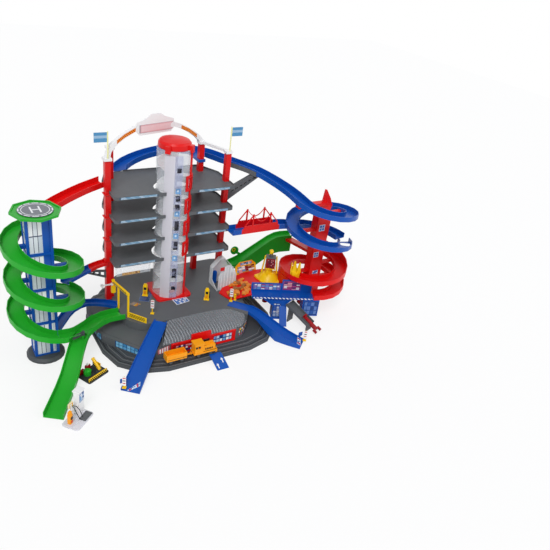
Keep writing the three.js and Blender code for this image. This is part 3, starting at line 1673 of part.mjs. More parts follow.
// Bridge: a straight run with suspension sides, then a curve behind the tower to the drop
const bridgeZ = deckLevels[1];
function bridgeSide(y) {
  const low = bridgeZ - trackFloor;
  const top = bridgeZ + trackSide + bridgeRailHeight;
  const span = bridgeRailEnd - bridgeRailStart;
  const y0 = y;
  const y1 = y + trackWall;
  const pieces = [
    plateXZ(
      [
        [bridgeRailStart - bridgeRailHeight, low],
        [bridgeRailEnd + bridgeRailHeight, low],
        [bridgeRailEnd, top],
        [bridgeRailStart, top],
      ],
      y0,
      y1,
    ),
  ];
  const towers = bridgeTowerShares.map((share) => bridgeRailStart + span * share);
  for (const x of towers) {
    pieces.push(box(x - bridgeTowerWidth / 2, x + bridgeTowerWidth / 2, y0, y1, low, top + bridgeTowerHeight));
  }
  const sag = (share) => top + bridgeTowerHeight - bridgeCableThickness - bridgeCableSag * 4 * share * (1 - share);
  const cable = [];
  const parts = 8;
  for (let i = 0; i <= parts; i++) {
    const share = i / parts;
    cable.push([THREE.MathUtils.lerp(towers[0], towers[1], share), sag(share)]);
  }
  const over = cable.map(([x, z]) => [x, z + bridgeCableThickness]).reverse();
  pieces.push(plateXZ([...cable, ...over], y0, y1));
  const tip = top + bridgeTowerHeight;
  const ends = [
    [bridgeRailStart, towers[0]],
    [bridgeRailEnd, towers[1]],
  ];
  for (const [foot, x] of ends) {
    const t = bridgeCableThickness;
    const line = [
      [foot, top - t],
      [x, tip - t * 2],
      [x, tip],
      [foot, top + t],
    ];
    pieces.push(plateXZ(foot < x ? line : line.reverse(), y0, y1));
  }
  return pieces;
}
function makeBridge() {
  const back = roundPoint(rightX, rightY, rightRadius, 120, THREE.MathUtils.lerp(bridgeZ, bridgeEndZ, 0.35));
  const curve = curveThrough([
    [bridgeStartX, bridgeY, bridgeZ],
    [THREE.MathUtils.lerp(bridgeStartX, bridgeEndX, 0.5), bridgeY, bridgeZ],
    [bridgeEndX - trackSide, bridgeY, bridgeZ],
    [THREE.MathUtils.lerp(bridgeEndX, back[0], 0.5), bridgeY + trackWall, THREE.MathUtils.lerp(bridgeZ, back[2], 0.4)],
    back,
    roundPoint(rightX, rightY, rightRadius, 90, THREE.MathUtils.lerp(bridgeZ, bridgeEndZ, 0.6)),
    roundPoint(rightX, rightY, rightRadius, 55, THREE.MathUtils.lerp(bridgeZ, bridgeEndZ, 0.85)),
    roundPoint(rightX, rightY, rightRadius, 25, THREE.MathUtils.lerp(bridgeZ, bridgeEndZ, 0.97)),
    roundPoint(rightX, rightY, rightRadius, bridgeEndAngle, bridgeEndZ),
  ]);
  const track = sweep(stationsAlong(curve.getPoints(26), greenSection));
  const mouth = box(bridgeStartX - cutOver, deckCorners[1][0] - deckCorners[1][2], bridgeY, 0, bridgeZ, bridgeZ + trackSide * 2);
  const h = trackWidth / 2;
  const sides = [...bridgeSide(bridgeY - h), ...bridgeSide(bridgeY + h - trackWall)];
  return join([track.subtract(mouth), ...sides]);
}
addPart("bridge_track", makeBridge(), blue);

// Red track round the foot of the right tower: a high catching wall first, then a level turn and a falling turn
function makeRedSpiral() {
  const section = (angle) => {
    const rise = Math.max(0, 1 - (redStart - angle) / 150) * redCatchWall;
    const h = trackWidth / 2;
    return [
      [-h, -trackFloor],
      [h, -trackFloor],
      [h, trackSide],
      [h - trackWall, trackSide],
      [h - trackWall, 0],
      [trackWall - h, 0],
      [trackWall - h, trackSide + rise],
      [-h, trackSide + rise],
    ];
  };
  return sweep(stationsRound(rightX, rightY, rightRadius, redStart, redEnd, redHeight, section));
}
addPart("red_spiral", makeRedSpiral(), red);

// Red square: a plate that rises from the road to the tower's foot, on a curved wall that carries the red track
function makeSquare() {
  const stations = squareRows.map(([x0, y0, x1, y1, z]) => {
    const run = new THREE.Vector2(x0 - x1, y0 - y1);
    const length = run.length();
    run.normalize();
    return {
      at: new THREE.Vector3((x0 + x1) / 2, (y0 + y1) / 2, z),
      side: new THREE.Vector2(-run.x, -run.y),
      section: block(-length / 2, length / 2, 0, squareThickness),
    };
  });
  const plate = sweep(stations);
  const column = box(
    rightX - rightColumnWide,
    rightX + rightColumnWide,
    rightY - rightColumnDeep / 2 - runGap,
    rightY + rightColumnDeep / 2 + runGap,
    0,
    rightColumnTop,
  );
  const wallHigh = redHeight(-190) - trackFloor - fitGap - shellWall;
  const wall = arcWall(rightX, rightY, rightRadius + trackWidth / 2 - shellWall, rightRadius + trackWidth / 2, 128, 196, squareLevel, wallHigh, 6);
  const road = prism(rounded(roadCorners), 0, roadHeight + fitGap);
  const leg = post(towerX, towerY, towerWaist / 2, 0, squareLevel + shellWall, 12);
  const rise = roundRoom(rightX, rightY, rightRadius, redStart, redEnd, redHeight);
  const ramp = landing(rightRampLine, rightRampWidth, trackFloor + trackWall / 2);
  const front = box(-fitGap, platformLength + fitGap, -fitGap, platformDepth + platformWallThickness + fitGap, 0, postTop);
  const beside = front.rotate([0, 0, platformTurn]).translate([platformX, platformY, 0]);
  return cut(join([plate, wall, leg]), [column, road, rise, ramp, beside]);
}
addPart("red_square", makeSquare(), red);

// Yellow tower: a five-lobed mound with three legs up to a ball, and a cabin between them
const squareTop = squareLevel + squareThickness + fitGap;
function makeTower() {
  const lobes = 5;
  const points = [];
  for (let i = 0; i < lobes * 4; i++) {
    const a = (Math.PI * 2 * i) / (lobes * 4);
    const r = towerFootRadius * (0.84 + 0.16 * Math.cos(a * lobes));
    points.push([towerX + r * Math.cos(a), towerY + r * Math.sin(a)]);
  }
  const low = prism(points, squareTop, squareTop + shellWall * 3);
  const mound = turned(
    towerX,
    towerY,
    [
      [0, squareTop + shellWall],
      [towerFootRadius * 0.82, squareTop + shellWall],
      [towerFootRadius * 0.62, squareTop + towerHeight * 0.16],
      [towerWaist, squareTop + towerHeight * 0.26],
      [0, squareTop + towerHeight * 0.27],
    ],
    10,
  );
  const foot = squareTop + towerHeight * 0.2;
  const head = squareTop + towerHeight;
  const legs = towerHeadings.map((heading) => {
    const a = THREE.MathUtils.degToRad(heading);
    const section = block(-shellWall * 1.4, shellWall * 1.4, -shellWall * 2, shellWall * 2);
    const side = new THREE.Vector2(-Math.sin(a), Math.cos(a));
    const out = [towerWaist * 1.15, towerWaist * 0.95, shellWall];
    return sweep(
      [foot, (foot + head) / 2, head].map((z, i) => ({
        at: new THREE.Vector3(towerX + out[i] * Math.cos(a), towerY + out[i] * Math.sin(a), z),
        side,
        section,
      })),
    );
  });
  const ball = solid(new THREE.SphereGeometry(towerBall, 10, 7).translate(towerX, towerY, head + towerBall / 2));
  const cabinLow = squareTop + towerHeight * 0.25;
  const cabin = post(towerX, towerY, towerWaist * 0.62, cabinLow, squareTop + towerHeight * 0.72, 8, towerWaist * 0.5);
  const track = post(rightX, rightY, rightRadius + trackWidth / 2 + runGap * 2, 0, postTop, turnSteps * 2);
  return cut(join([low, mound, cabin, ...legs, ball]), [track]);
}
addPart("yellow_tower", makeTower(), yellow);

// Yellow crown that stands on the red track's front pass
function makeCrown() {
  const floor = redHeight(crownAngle) + fitGap * 3;
  const [x, y] = roundPoint(rightX, rightY, rightRadius, crownAngle, floor);
  const cup = turned(
    x,
    y,
    [
      [0, floor],
      [crownRadius * 0.8, floor],
      [crownRadius * 0.94, floor + crownHeight * 0.5],
      [crownRadius * 0.94 - crownWall, floor + crownHeight * 0.5],
      [crownRadius * 0.8 - crownWall, floor + crownWall],
      [0, floor + crownWall],
    ],
    crownPoints * 2,
  );
  const spikes = [];
  for (let i = 0; i < crownPoints; i++) {
    const w = crownRadius * 0.5;
    const shape = new THREE.Shape([
      new THREE.Vector2(-w, 0),
      new THREE.Vector2(w, 0),
      new THREE.Vector2(w * 0.2, crownHeight * 0.6),
      new THREE.Vector2(-w * 0.2, crownHeight * 0.6),
    ]);
    const spike = new THREE.ExtrudeGeometry(shape, { depth: crownWall * 0.8, bevelEnabled: false });
    spike.rotateX(Math.PI / 2).rotateZ(Math.PI / 2).translate(crownRadius * 0.86 - crownWall, 0, floor + crownHeight * 0.4);
    spike.rotateZ((Math.PI * 2 * i) / crownPoints).translate(x, y, 0);
    spikes.push(solid(spike));
  }
  return join([cup, ...spikes]);
}
addPart("yellow_crown", makeCrown(), yellow);

// Blue platform on two legs, with a back wall
const platform = new THREE.Group();
platform.position.set(platformX, platformY, 0);
platform.rotation.z = THREE.MathUtils.degToRad(platformTurn);
garage.add(platform);
function makePlatform() {
  const legStart = platformLength * legShare;
  const legEnd = legStart + legWide;
  const boxStart = platformLength * boxShare;
  const boxEnd = boxStart + boxWide;
  const z0 = platformZ - platformThickness;
  const back = platformDepth + platformWallThickness;
  const inset = platformDepth * 0.14;
  const pieces = [
    box(0, platformLength, 0, platformDepth, z0, platformZ),
    box(0, platformLength, 0, platformWallThickness / 2, z0, platformZ + platformLip),
    box(0, platformLength, platformDepth, back, z0, platformZ + platformWallHeight),
    box(platformLength * 0.5, platformLength * 0.82, platformDepth, back, platformZ, platformZ + platformWallHeight * 1.5),
  ];
  const leg = plateXZ(
    [
      [legStart, 0],
      [legEnd, 0],
      [legEnd, platformZ * 0.7],
      [legEnd + platformDepth / 2, z0 + shellWall],
      [legStart - platformDepth, z0 + shellWall],
      [legStart, platformZ * 0.6],
    ],
    inset,
    platformDepth,
  );
  const legRoom = box(legStart + shellWall, legEnd - shellWall, inset + shellWall, platformDepth - shellWall, -cutOver, platformZ * 0.6);
  const crate = box(boxStart, boxEnd, shellWall, platformDepth - shellWall, boxFoot, z0 + shellWall);
  const crateRoom = box(boxStart + shellWall, boxEnd - shellWall, shellWall * 2, platformDepth - shellWall * 2, boxFoot - cutOver, z0 - shellWall);
  const slide = plateYZ(
    [
      [inset + shellWall / 2, platformZ * 0.62],
      [-slideReach, 0],
      [-slideReach + shellWall * 2, 0],
      [inset + shellWall / 2, platformZ * 0.62 - shellWall * 3],
    ],
    legEnd - slideWidth,
    legEnd,
  );
  return cut(join([...pieces, leg, crate, slide]), [legRoom, crateRoom]);
}
addPart("blue_platform", makePlatform(), blue, platform);

// Grey chute with a sliding red launcher at its low end
const chute = new THREE.Group();
const chuteRun = Math.hypot(chuteEndX - chuteStartX, chuteEndY - chuteStartY);
const chuteFall = Math.atan2(chuteStartZ - chuteEndZ, chuteRun);
const chuteLength = Math.hypot(chuteRun, chuteStartZ - chuteEndZ);
chute.position.set(chuteEndX, chuteEndY, chuteEndZ);
chute.rotation.order = "ZYX";
chute.rotation.z = Math.atan2(chuteStartY - chuteEndY, chuteStartX - chuteEndX);
chute.rotation.y = -chuteFall;
garage.add(chute);
function makeChute() {
  const h = chuteWidth / 2;
  const floor = box(0, chuteLength, -h, h, -trackFloor, 0);
  const sides = [-1, 1].map((way) =>
    box(0, chuteLength, Math.min(way * h, way * (h - trackWall)), Math.max(way * h, way * (h - trackWall)), -trackFloor, chuteSide),
  );
  const rails = [-1, 1].map((way) => {
    const inner = way * (launcherWidth / 2 + runGap);
    const outer = way * (launcherWidth / 2 + runGap + trackWall);
    return box(0, launcherLength / 2, Math.min(inner, outer), Math.max(inner, outer), -trackFloor, launcherHeight * 0.6);
  });
  chute.updateMatrixWorld(true);
  const inverse = chute.matrixWorld.clone().invert();
  const feet = [0.06, 0.86].map((share) => {
    const top = THREE.MathUtils.lerp(chuteEndZ, chuteStartZ, share) - trackFloor / 2;
    const foot = new THREE.BoxGeometry(shellWall * 2, chuteWidth * 0.8, top);
    foot.rotateZ(chute.rotation.z);
    foot.translate(
      THREE.MathUtils.lerp(chuteEndX, chuteStartX, share),
      THREE.MathUtils.lerp(chuteEndY, chuteStartY, share),
      top / 2,
    );
    return solid(foot.applyMatrix4(inverse));
  });
  return join([floor, ...sides, ...rails, ...feet]);
}
addPart("launch_chute", makeChute(), grey, chute);
function makeLauncher() {
  const w = launcherWidth / 2;
  const low = fitGap;
  const tail = -launcherLength * 0.34;
  const grip = -launcherLength * 0.5;
  return join([
    box(tail, launcherLength * 0.5, -w, w, low, launcherHeight),
    box(tail - shellWall, tail + shellWall * 2, -launcherClaw / 2, launcherClaw / 2, low, launcherHeight),
    box(grip, tail + shellWall, -launcherClaw / 2, shellWall * 2 - launcherClaw / 2, low, launcherHeight),
    box(grip, tail + shellWall, launcherClaw / 2 - shellWall * 2, launcherClaw / 2, low, launcherHeight),
    box(launcherLength * 0.42, launcherLength * 0.5, -w, w, low, launcherHeight * 1.8),
  ]);
}
addPart("launcher", makeLauncher(), darkRed, chute);

// Car wash: a clear gabled tunnel with a front apron and a turning brush
const wash = new THREE.Group();
wash.position.set(washX, washY, roadHeight);
garage.add(wash);
function makeWash() {
  const w = washWide / 2;
  const d = washDeep / 2;
  const gable = (half, low, eaves, peak) => [
    [-half, low],
    [half, low],
    [half, eaves],
    [half * 0.2, peak],
    [-half * 0.2, peak],
    [-half, eaves],
  ];
  const outer = plateXZ(gable(w, 0, washWallHeight, washPeak), -d, d);
  const inner = plateXZ(gable(w - washSkin, -cutOver, washWallHeight - washSkin / 2, washPeak - washSkin), -d - cutOver, d + cutOver);
  const apronShape = [
    [-d - washApron, 0],
    [washSkin - d, 0],
    [washSkin - d, washApronHeight],
    [-d, washApronHeight],
  ];
  return join([outer.subtract(inner), plateYZ(apronShape, -w, washSkin - w)]);
}
addPart("wash_housing", makeWash(), clear, wash);
function makeRoller() {
  const hub = post(0, 0, rollerRadius * 0.55, fitGap, rollerHeight, 8);
  const bristles = [];
  for (let i = 0; i < rollerBristles; i++) {
    bristles.push(spoke(0, 0, (360 * i) / rollerBristles, rollerRadius * 0.3, rollerRadius, shellWall * 0.6, shellWall, rollerHeight - shellWall));
  }
  return join([hub, ...bristles]);
}
const brush = new THREE.Group();
brush.position.set(rollerInset - washWide / 2, 0, 0);
wash.add(brush);
addPart("wash_brush", makeRoller(), blue, brush);

// Green jump ramp with deep skirts, and the lever at its low end
function makeJump() {
  const h = trackWidth / 2;
  const t = trackWall;
  const section = (share) => {
    const z = jumpCurve.getPoint(share).z;
    const k = Math.min(jumpSkirt, z - roadHeight - fitGap + t / 2);
    const skirt = Math.max(k, trackFloor + t / 2);
    return [
      [-h, -skirt],
      [t - h, -skirt],
      [t - h, -trackFloor],
      [h - t, -trackFloor],
      [h - t, -skirt],
      [h, -skirt],
      [h, trackSide * 0.7],
      [h - t, trackSide * 0.7],
      [h - t, 0],
      [t - h, 0],
      [t - h, trackSide * 0.7],
      [-h, trackSide * 0.7],
    ];
  };
  const ramp = sweep(stationsAlong(jumpLine, section));
  const floorBelow = box(0, rightX * 2, 0, baseBack * 2, 0, roadHeight + fitGap);
  const pin = join([
    pinY(leverPivotX, leverPivotY - leverThickness - shellWall, leverPivotY + leverThickness, leverPivotZ, leverPin),
    pinY(leverPivotX, leverPivotY + leverThickness / 2 + fitGap * 2, leverPivotY + leverThickness, leverPivotZ, leverPin * 1.5),
  ]);
  return join([ramp.subtract(floorBelow), pin]);
}
addPart("jump_ramp", makeJump(), green);
const lever = new THREE.Group();
lever.position.set(leverPivotX, leverPivotY, leverPivotZ);
lever.rotation.y = THREE.MathUtils.degToRad(leverTilt);
garage.add(lever);
function makeLever() {
  const t = leverThickness / 2;
  const w = leverPin + shellWall;
  return join([
    pinY(0, -t, t, 0, leverPin + shellWall * 1.6),
    plateXZ(
      [
        [-w, 0],
        [w, 0],
        [w * 0.7, leverLength],
        [-w * 0.7, leverLength],
      ],
      -t,
      t,
    ),
    pinY(0, -t, t, leverLength, leverDisc, turnSteps),
  ]).subtract(pinY(0, -t - cutOver, t + cutOver, 0, leverPin + fitGap));
}
addPart("jump_lever", makeLever(), green, lever);

// Ramps to the floor
function rampSection(width, side, skirt) {
  const h = width / 2;
  const t = trackWall;
  return [
    [-h, -skirt],
    [t - h, -skirt],
    [t - h, -trackFloor],
    [h - t, -trackFloor],
    [h - t, -skirt],
    [h, -skirt],
    [h, side],
    [h - t, side],
    [h - t, 0],
    [t - h, 0],
    [t - h, side],
    [-h, side],
  ];
}
function makeFrontRamp() {
  const track = sweep(stationsAlong(frontRampLine, (share) => channel(frontRampWidthAt(share), frontRampSide)));
  const sign = rampSign(frontRampLine[3], frontRampLine[2], frontRampEndWidth);
  return track.add(sign);
}
// A small plate on a stem beside a ramp's end
function rampSign(end, before, width) {
  const run = end.clone().sub(before).setZ(0).normalize();
  const side = new THREE.Vector3(-run.y, run.x, 0);
  const at = end.clone().addScaledVector(run, -rampSignSize).addScaledVector(side, -width / 2);
  const stem = box(at.x - shellWall / 2, at.x + shellWall / 2, at.y - shellWall / 2, at.y + shellWall / 2, 0, rampSignHeight);
  const plate = box(at.x - rampSignSize / 2, at.x + rampSignSize / 2, at.y - shellWall / 2, at.y + shellWall / 2, rampSignHeight - rampSignSize, rampSignHeight);
  return stem.add(plate);
}
addPart("front_ramp", makeFrontRamp(), blue);
function makeRightRamp() {
  const section = (share) => {
    const z = rightRampCurve.getPoint(share).z;
    const free = Math.max(0, share - 0.45) / 0.55;
    const skirt = THREE.MathUtils.clamp(rightRampSkirt * free * 2, trackFloor + trackWall / 2, Math.max(z, trackFloor + trackWall / 8));
    return rampSection(rightRampWidth(share), share < 0.3 ? trackWall : rightRampSide, skirt);
  };
  const ramp = sweep(stationsAlong(rightRampLine, section));
  const floor = box(0, rightX * 2, -rightX * 2, 0, -rightX, 0);
  const sign = rampSign(rightRampLine[rightRampSteps], rightRampLine[rightRampSteps - 1], -rightRampWidth(1));
  const tray = prism(rounded(baseCorners, -fitGap), 0, trayHeight + fitGap);
  return cut(ramp, [floor, tray]).add(sign);
}
addPart("right_ramp", makeRightRamp(), blue);
function makeSmallRamp() {
  const t = smallRampThickness;
  const edge = baseFront + runGap;
  const low = trayHeight + fitGap;
  return plateYZ(
    [
      [smallRampInner - edge, low],
      [smallRampInner - edge, low + t],
      [-edge, low + t],
      [-edge - smallRampReach, 0],
      [t * 2 - edge - smallRampReach, 0],
      [-edge, low],
    ],
    smallRampX - smallRampWidth / 2,
    smallRampX + smallRampWidth / 2,
  );
}
addPart("small_ramp", makeSmallRamp(), blue);

// Yellow gantry over the landing, with its hanging drum, its boom and its fence
const gantryDirection = new THREE.Vector2(-gantryLean, gantryPostY1 - gantryPostY2).normalize();
const gantryTipX = gantryPostX - gantryLean + gantryDirection.x * gantryOverhang;
const gantryTipY = gantryPostY1 + gantryDirection.y * gantryOverhang;
const gantryTop = roadHeight + gantryHeight;
function makeGantry() {
  const b = gantryBar / 2;
  const low = roadHeight + fitGap;
  const x1 = gantryPostX - gantryLean;
  const x2 = gantryPostX;
  const turn = THREE.MathUtils.radToDeg(Math.atan2(gantryTipY - gantryPostY2, gantryTipX - x2));
  const span = Math.hypot(gantryTipX - x2, gantryTipY - gantryPostY2);
  const pieces = [
    box(x1 - b, x1 + b, gantryPostY1 - b, gantryPostY1 + b, low, gantryTop),
    box(x2 - b, x2 + b, gantryPostY2 - b, gantryPostY2 + b, low, gantryTop),
    spoke(x2, gantryPostY2, turn, -b, span, gantryBar * 1.2, gantryTop - gantryBeamHeight, gantryTop),
    post(gantryTipX, gantryTipY, b / 2, gantryTop - gantryDrop, gantryTop, 8),
    post(gantryTipX, gantryTipY, drumRadius, gantryTop - gantryDrop - drumHeight, gantryTop - gantryDrop, 10),
    post(gantryTipX, gantryTipY, drumRadius * 0.7, gantryTop - b, gantryTop + b, 10),
  ];
  const reach = Math.hypot(fenceEndX - x2, fenceEndY - gantryPostY2);
  const heading = THREE.MathUtils.radToDeg(Math.atan2(fenceEndY - gantryPostY2, fenceEndX - x2));
  pieces.push(spoke(x2, gantryPostY2, heading, 0, reach, shellWall, low, low + fenceHeight));
  return join(pieces);
}
addPart("gantry", makeGantry(), yellow);
const boom = new THREE.Group();
boom.position.set(gantryTipX - gantryBar / 4 - boomBar - fitGap, gantryTipY, gantryTop - gantryBeamHeight - boomBar - fitGap);
garage.add(boom);
function makeBoom() {
  const b = boomBar / 2;
  return join([
    pinY(0, -boomBar, boomBar, 0, boomBar, 10),
    box(-boomLength, 0, -b, b, -b, b),
    box(-boomLength, boomBar * 2 - boomLength, -boomBar * 2, boomBar * 2, -b, b),
    box(-boomLength, boomBar - boomLength, -boomBar * 2, -boomBar, -b - boomBar, b),
    box(-boomLength, boomBar - boomLength, boomBar, boomBar * 2, -b - boomBar, b),
  ]);
}
addPart("gantry_boom", makeBoom(), white, boom);

// Train: wheels turn in the open forks under each body
const axleZ = trayHeight + fitGap + wheelRadius;
function makeWheels(x) {
  const y0 = trainY - railGauge / 2;
  const y1 = trainY + railGauge / 2;
  return join([
    pinY(x, y0, y1, axleZ, axleRadius, 12),
    pinY(x, y0 - wheelWidth, y0 + fitGap, axleZ, wheelRadius, roundSteps),
    pinY(x, y1 - fitGap, y1 + wheelWidth, axleZ, wheelRadius, roundSteps),
  ]);
}
function makeFrame(x0, x1, wheelXs) {
  const half = locoWidth / 2;
  const under = axleZ + wheelRadius + runGap * 2;
  const fork = railGauge / 2 - wheelWidth - runGap;
  const frame = [box(x0, x1, trainY - half, trainY + half, under, under + trainFloor)];
  for (const x of wheelXs) {
    frame.push(box(x - wheelRadius * 0.7, x + wheelRadius * 0.7, trainY - fork, trainY + fork, axleZ - axleRadius * 2, under + shellWall));
  }
  return { body: join(frame), holes: wheelXs.map((x) => pinY(x, trainY - half, trainY + half, axleZ, axleHole, 12)), top: under + trainFloor };
}
const locoWheels = [locoX - locoLength * 0.28, locoX + locoLength * 0.28];
const wagonWheels = [wagonX - wagonLength * 0.28, wagonX + wagonLength * 0.28];
function makeLoco() {
  const x0 = locoX - locoLength / 2;
  const x1 = locoX + locoLength / 2;
  const { body, holes, top } = makeFrame(x0, x1, locoWheels);
  const half = locoWidth / 2 - shellWall / 2;
  const pieces = [
    body,
    box(x0 + shellWall, x0 + locoLength * 0.42, trainY - half, trainY + half, top - shellWall, top + locoCab - trainFloor),
    box(x0, x0 + locoLength * 0.46, trainY - half - shellWall, trainY + half + shellWall, top + locoCab - trainFloor - shellWall, top + locoCab - trainFloor + shellWall),
    box(x0 + locoLength * 0.4, x1 - shellWall, trainY - half * 0.86, trainY + half * 0.86, top - shellWall, top + locoHood - trainFloor),
    post(x1 - locoLength * 0.14, trainY, shellWall * 2, top, top + locoHood, 10),
    box(x1 - shellWall / 2, x1 + shellWall * 2, trainY - half, trainY + half, top - trainFloor * 2, top),
    box(x0 - hookGap * 5, x0 + shellWall, trainY - shellWall, trainY + shellWall, top - trainFloor, top - trainFloor / 2),
  ];
  const windows = [-1, 1].map((way) => {
    const y0 = Math.min(way * half, way * (half - shellWall / 2));
    const y1 = Math.max(way * (half + cutOver), way * (half - shellWall / 2));
    return box(x0 + locoLength * 0.1, x0 + locoLength * 0.34, trainY + Math.min(y0, y1), trainY + Math.max(y0, y1), top + locoCab * 0.4, top + locoCab * 0.68);
  });
  return cut(join(pieces), [...holes, ...windows]);
}
addPart("loco", makeLoco(), orange);
function makeWagon() {
  const x0 = wagonX - wagonLength / 2;
  const x1 = wagonX + wagonLength / 2;
  const { body, holes, top } = makeFrame(x0, x1, wagonWheels);
  const half = locoWidth / 2;
  const tub = box(x0, x1, trainY - half, trainY + half, top - shellWall, top + wagonSide);
  const room = box(x0 + shellWall, x1 - shellWall, trainY - half + shellWall, trainY + half - shellWall, top, top + wagonSide + cutOver);
  const coupler = box(x1 - shellWall, locoX - locoLength / 2 - hookGap * 6, trainY - shellWall, trainY + shellWall, top - trainFloor, top - trainFloor / 2);
  const bar = box(locoX - locoLength / 2 - hookGap * 8, locoX - locoLength / 2 - hookGap * 5.5, trainY - shellWall * 2, trainY + shellWall * 2, top - trainFloor, top + fitGap);
  return cut(join([body, tub.subtract(room), coupler, bar]), holes);
}
addPart("wagon", makeWagon(), orange);
addPart("loco_wheels_front", makeWheels(locoWheels[1]), darkGrey);
addPart("loco_wheels_back", makeWheels(locoWheels[0]), darkGrey);
addPart("wagon_wheels_front", makeWheels(wagonWheels[1]), darkGrey);
addPart("wagon_wheels_back", makeWheels(wagonWheels[0]), darkGrey);

// Filling station
const station = new THREE.Group();
station.position.set(stationX, stationY, 0);
station.rotation.z = THREE.MathUtils.degToRad(stationTurn);
garage.add(station);
function makeStation() {
  const w = stationWide / 2;
  const d = stationDeep / 2;
  const p = stationPost / 2;
  const px = -w * 0.35;
  const pieces = [
    prism(
      rounded([
        [-w, -d, footCorner],
        [w, -d, footCorner],
        [w, d, footCorner],
        [-w, d, footCorner],
      ]),
      0,
      stationPlate,
    ),
    box(px - p, px + p, d * 0.3, d * 0.3 + p, stationPlate / 2, stationRoofZ),
    prism(
      rounded([
        [px - w * 0.6, -d * 0.5, footCorner / 2],
        [px + w * 0.6, -d * 0.5, footCorner / 2],
        [px + w * 0.6, d * 0.9, footCorner / 2],
        [px - w * 0.6, d * 0.9, footCorner / 2],
      ]),
      stationRoofZ - shellWall,
      stationRoofZ + stationRoof,
    ),
    box(-w * 0.8, -w * 0.8 + stationPump, -d * 0.2, -d * 0.2 + stationPump, stationPlate / 2, stationPlate + stationPumpHeight),
    box(w * 0.2, w * 0.85, -d * 0.75, d * 0.1, stationPlate / 2, stationPlate * 2),
  ];
  return join(pieces);
}
addPart("filling_station", makeStation(), white, station);

// Building site
const site = new THREE.Group();
site.position.set(siteX, siteY, 0);
site.rotation.z = THREE.MathUtils.degToRad(siteTurn);
garage.add(site);
function makeSite() {
  const w = siteWide / 2;
  const d = siteDeep / 2;
  const tube = new THREE.CylinderGeometry(siteTubeRadius, siteTubeRadius, siteTubeLength, 10);
  tube.rotateZ(Math.PI / 2).rotateY(-Math.PI / 10).translate(-w * 0.1, d * 0.35, siteMastHeight * 0.62);
  const pieces = [
    prism(
      rounded([
        [-w, -d, footCorner],
        [w, -d, footCorner],
        [w, d, footCorner],
        [-w, d, footCorner],
      ]),
      0,
      sitePlate,
    ),
    box(-w * 0.9, w * 0.9, -d * 0.82, shellWall - d * 0.82, sitePlate / 2, siteFenceHeight),
    box(-w * 0.3, w * 0.1, d * 0.2, d * 0.5, sitePlate / 2, siteMastHeight * 0.6),
    box(w * 0.45, w * 0.9, -d * 0.3, d * 0.5, sitePlate / 2, siteFenceHeight),
    solid(tube),
  ];
  return join(pieces);
}
addPart("building_site", makeSite(), yellow, site);

export default garage;
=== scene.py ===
# %% [markdown]
# A toy parking garage with a lift. The model comes in as named solids in metres, and this
# lesson dresses it: plastics, labels, windows, signs and small fittings.

# %% Load the garage
import json
import math
import random

import bmesh
import bpy
from mathutils import Matrix, Vector
from mathutils.bvhtree import BVHTree

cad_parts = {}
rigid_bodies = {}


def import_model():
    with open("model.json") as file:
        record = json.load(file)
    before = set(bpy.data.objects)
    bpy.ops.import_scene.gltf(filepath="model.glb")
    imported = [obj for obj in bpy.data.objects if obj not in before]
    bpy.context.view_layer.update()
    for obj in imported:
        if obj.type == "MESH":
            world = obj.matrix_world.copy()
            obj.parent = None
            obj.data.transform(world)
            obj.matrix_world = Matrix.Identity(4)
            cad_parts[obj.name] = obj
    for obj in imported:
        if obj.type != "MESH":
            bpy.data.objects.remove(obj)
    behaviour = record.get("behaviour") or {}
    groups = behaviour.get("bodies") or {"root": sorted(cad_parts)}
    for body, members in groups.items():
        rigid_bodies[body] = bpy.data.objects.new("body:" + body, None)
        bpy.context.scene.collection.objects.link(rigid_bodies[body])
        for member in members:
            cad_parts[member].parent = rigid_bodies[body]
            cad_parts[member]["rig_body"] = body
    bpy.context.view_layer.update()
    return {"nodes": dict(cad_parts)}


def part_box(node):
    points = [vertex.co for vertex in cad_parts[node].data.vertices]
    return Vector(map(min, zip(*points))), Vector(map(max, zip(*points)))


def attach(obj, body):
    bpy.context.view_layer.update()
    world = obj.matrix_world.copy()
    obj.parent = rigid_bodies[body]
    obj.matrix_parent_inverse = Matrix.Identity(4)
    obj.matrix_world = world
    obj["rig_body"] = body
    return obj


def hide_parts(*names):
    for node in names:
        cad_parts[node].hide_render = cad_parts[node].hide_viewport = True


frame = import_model()
nodes = frame["nodes"]
MM = 0.001
DOWN = Vector((0, 0, -1))


def put_in_scene(name, data):
    item = bpy.data.objects.new(name, data)
    bpy.context.scene.collection.objects.link(item)
    return item


# %% [markdown]
# The camera stands in front and to the left, a little above the top deck, as in the photograph.
# It is given by its place and by three directions: to its right, up, and back from the view.
# Measured directions keep the small tilt of the picture, which a tracking constraint would lose.

# %% Camera
CAMERA_PLACE = Vector((-0.7959, -1.7893, 1.3))
CAMERA_RIGHT = Vector((0.8470, -0.5158, 0.1289))
CAMERA_UP = Vector((0.1638, 0.4838, 0.8597))
CAMERA_BACK = Vector((-0.5058, -0.7070, 0.4943))
SENSOR_WIDTH, FOCAL_LENGTH = 36, 39.14

camera_data = bpy.data.cameras.new("camera")
camera_data.sensor_width = SENSOR_WIDTH
camera_data.sensor_fit = "HORIZONTAL"
camera_data.lens = FOCAL_LENGTH
camera_data.clip_start = 0.05
camera = put_in_scene("camera", camera_data)
turn = Matrix((CAMERA_RIGHT, CAMERA_UP, CAMERA_BACK)).transposed().to_4x4()
camera.matrix_world = Matrix.Translation(CAMERA_PLACE) @ turn
bpy.context.scene.camera = camera
print("camera at", tuple(round(v, 2) for v in CAMERA_PLACE))

# %% [markdown]
# A shader is a net of nodes. One small helper places a node, sets its values and wires its
# inputs in a single line, which keeps every material below short enough to read. The others
# do a sum, mix two colours, read where a point lies on its piece, and give a soft step.

# %% Helpers for shader nodes
COLOR, VALUE, VECTOR = "NodeSocketColor", "NodeSocketFloat", "NodeSocketVector"


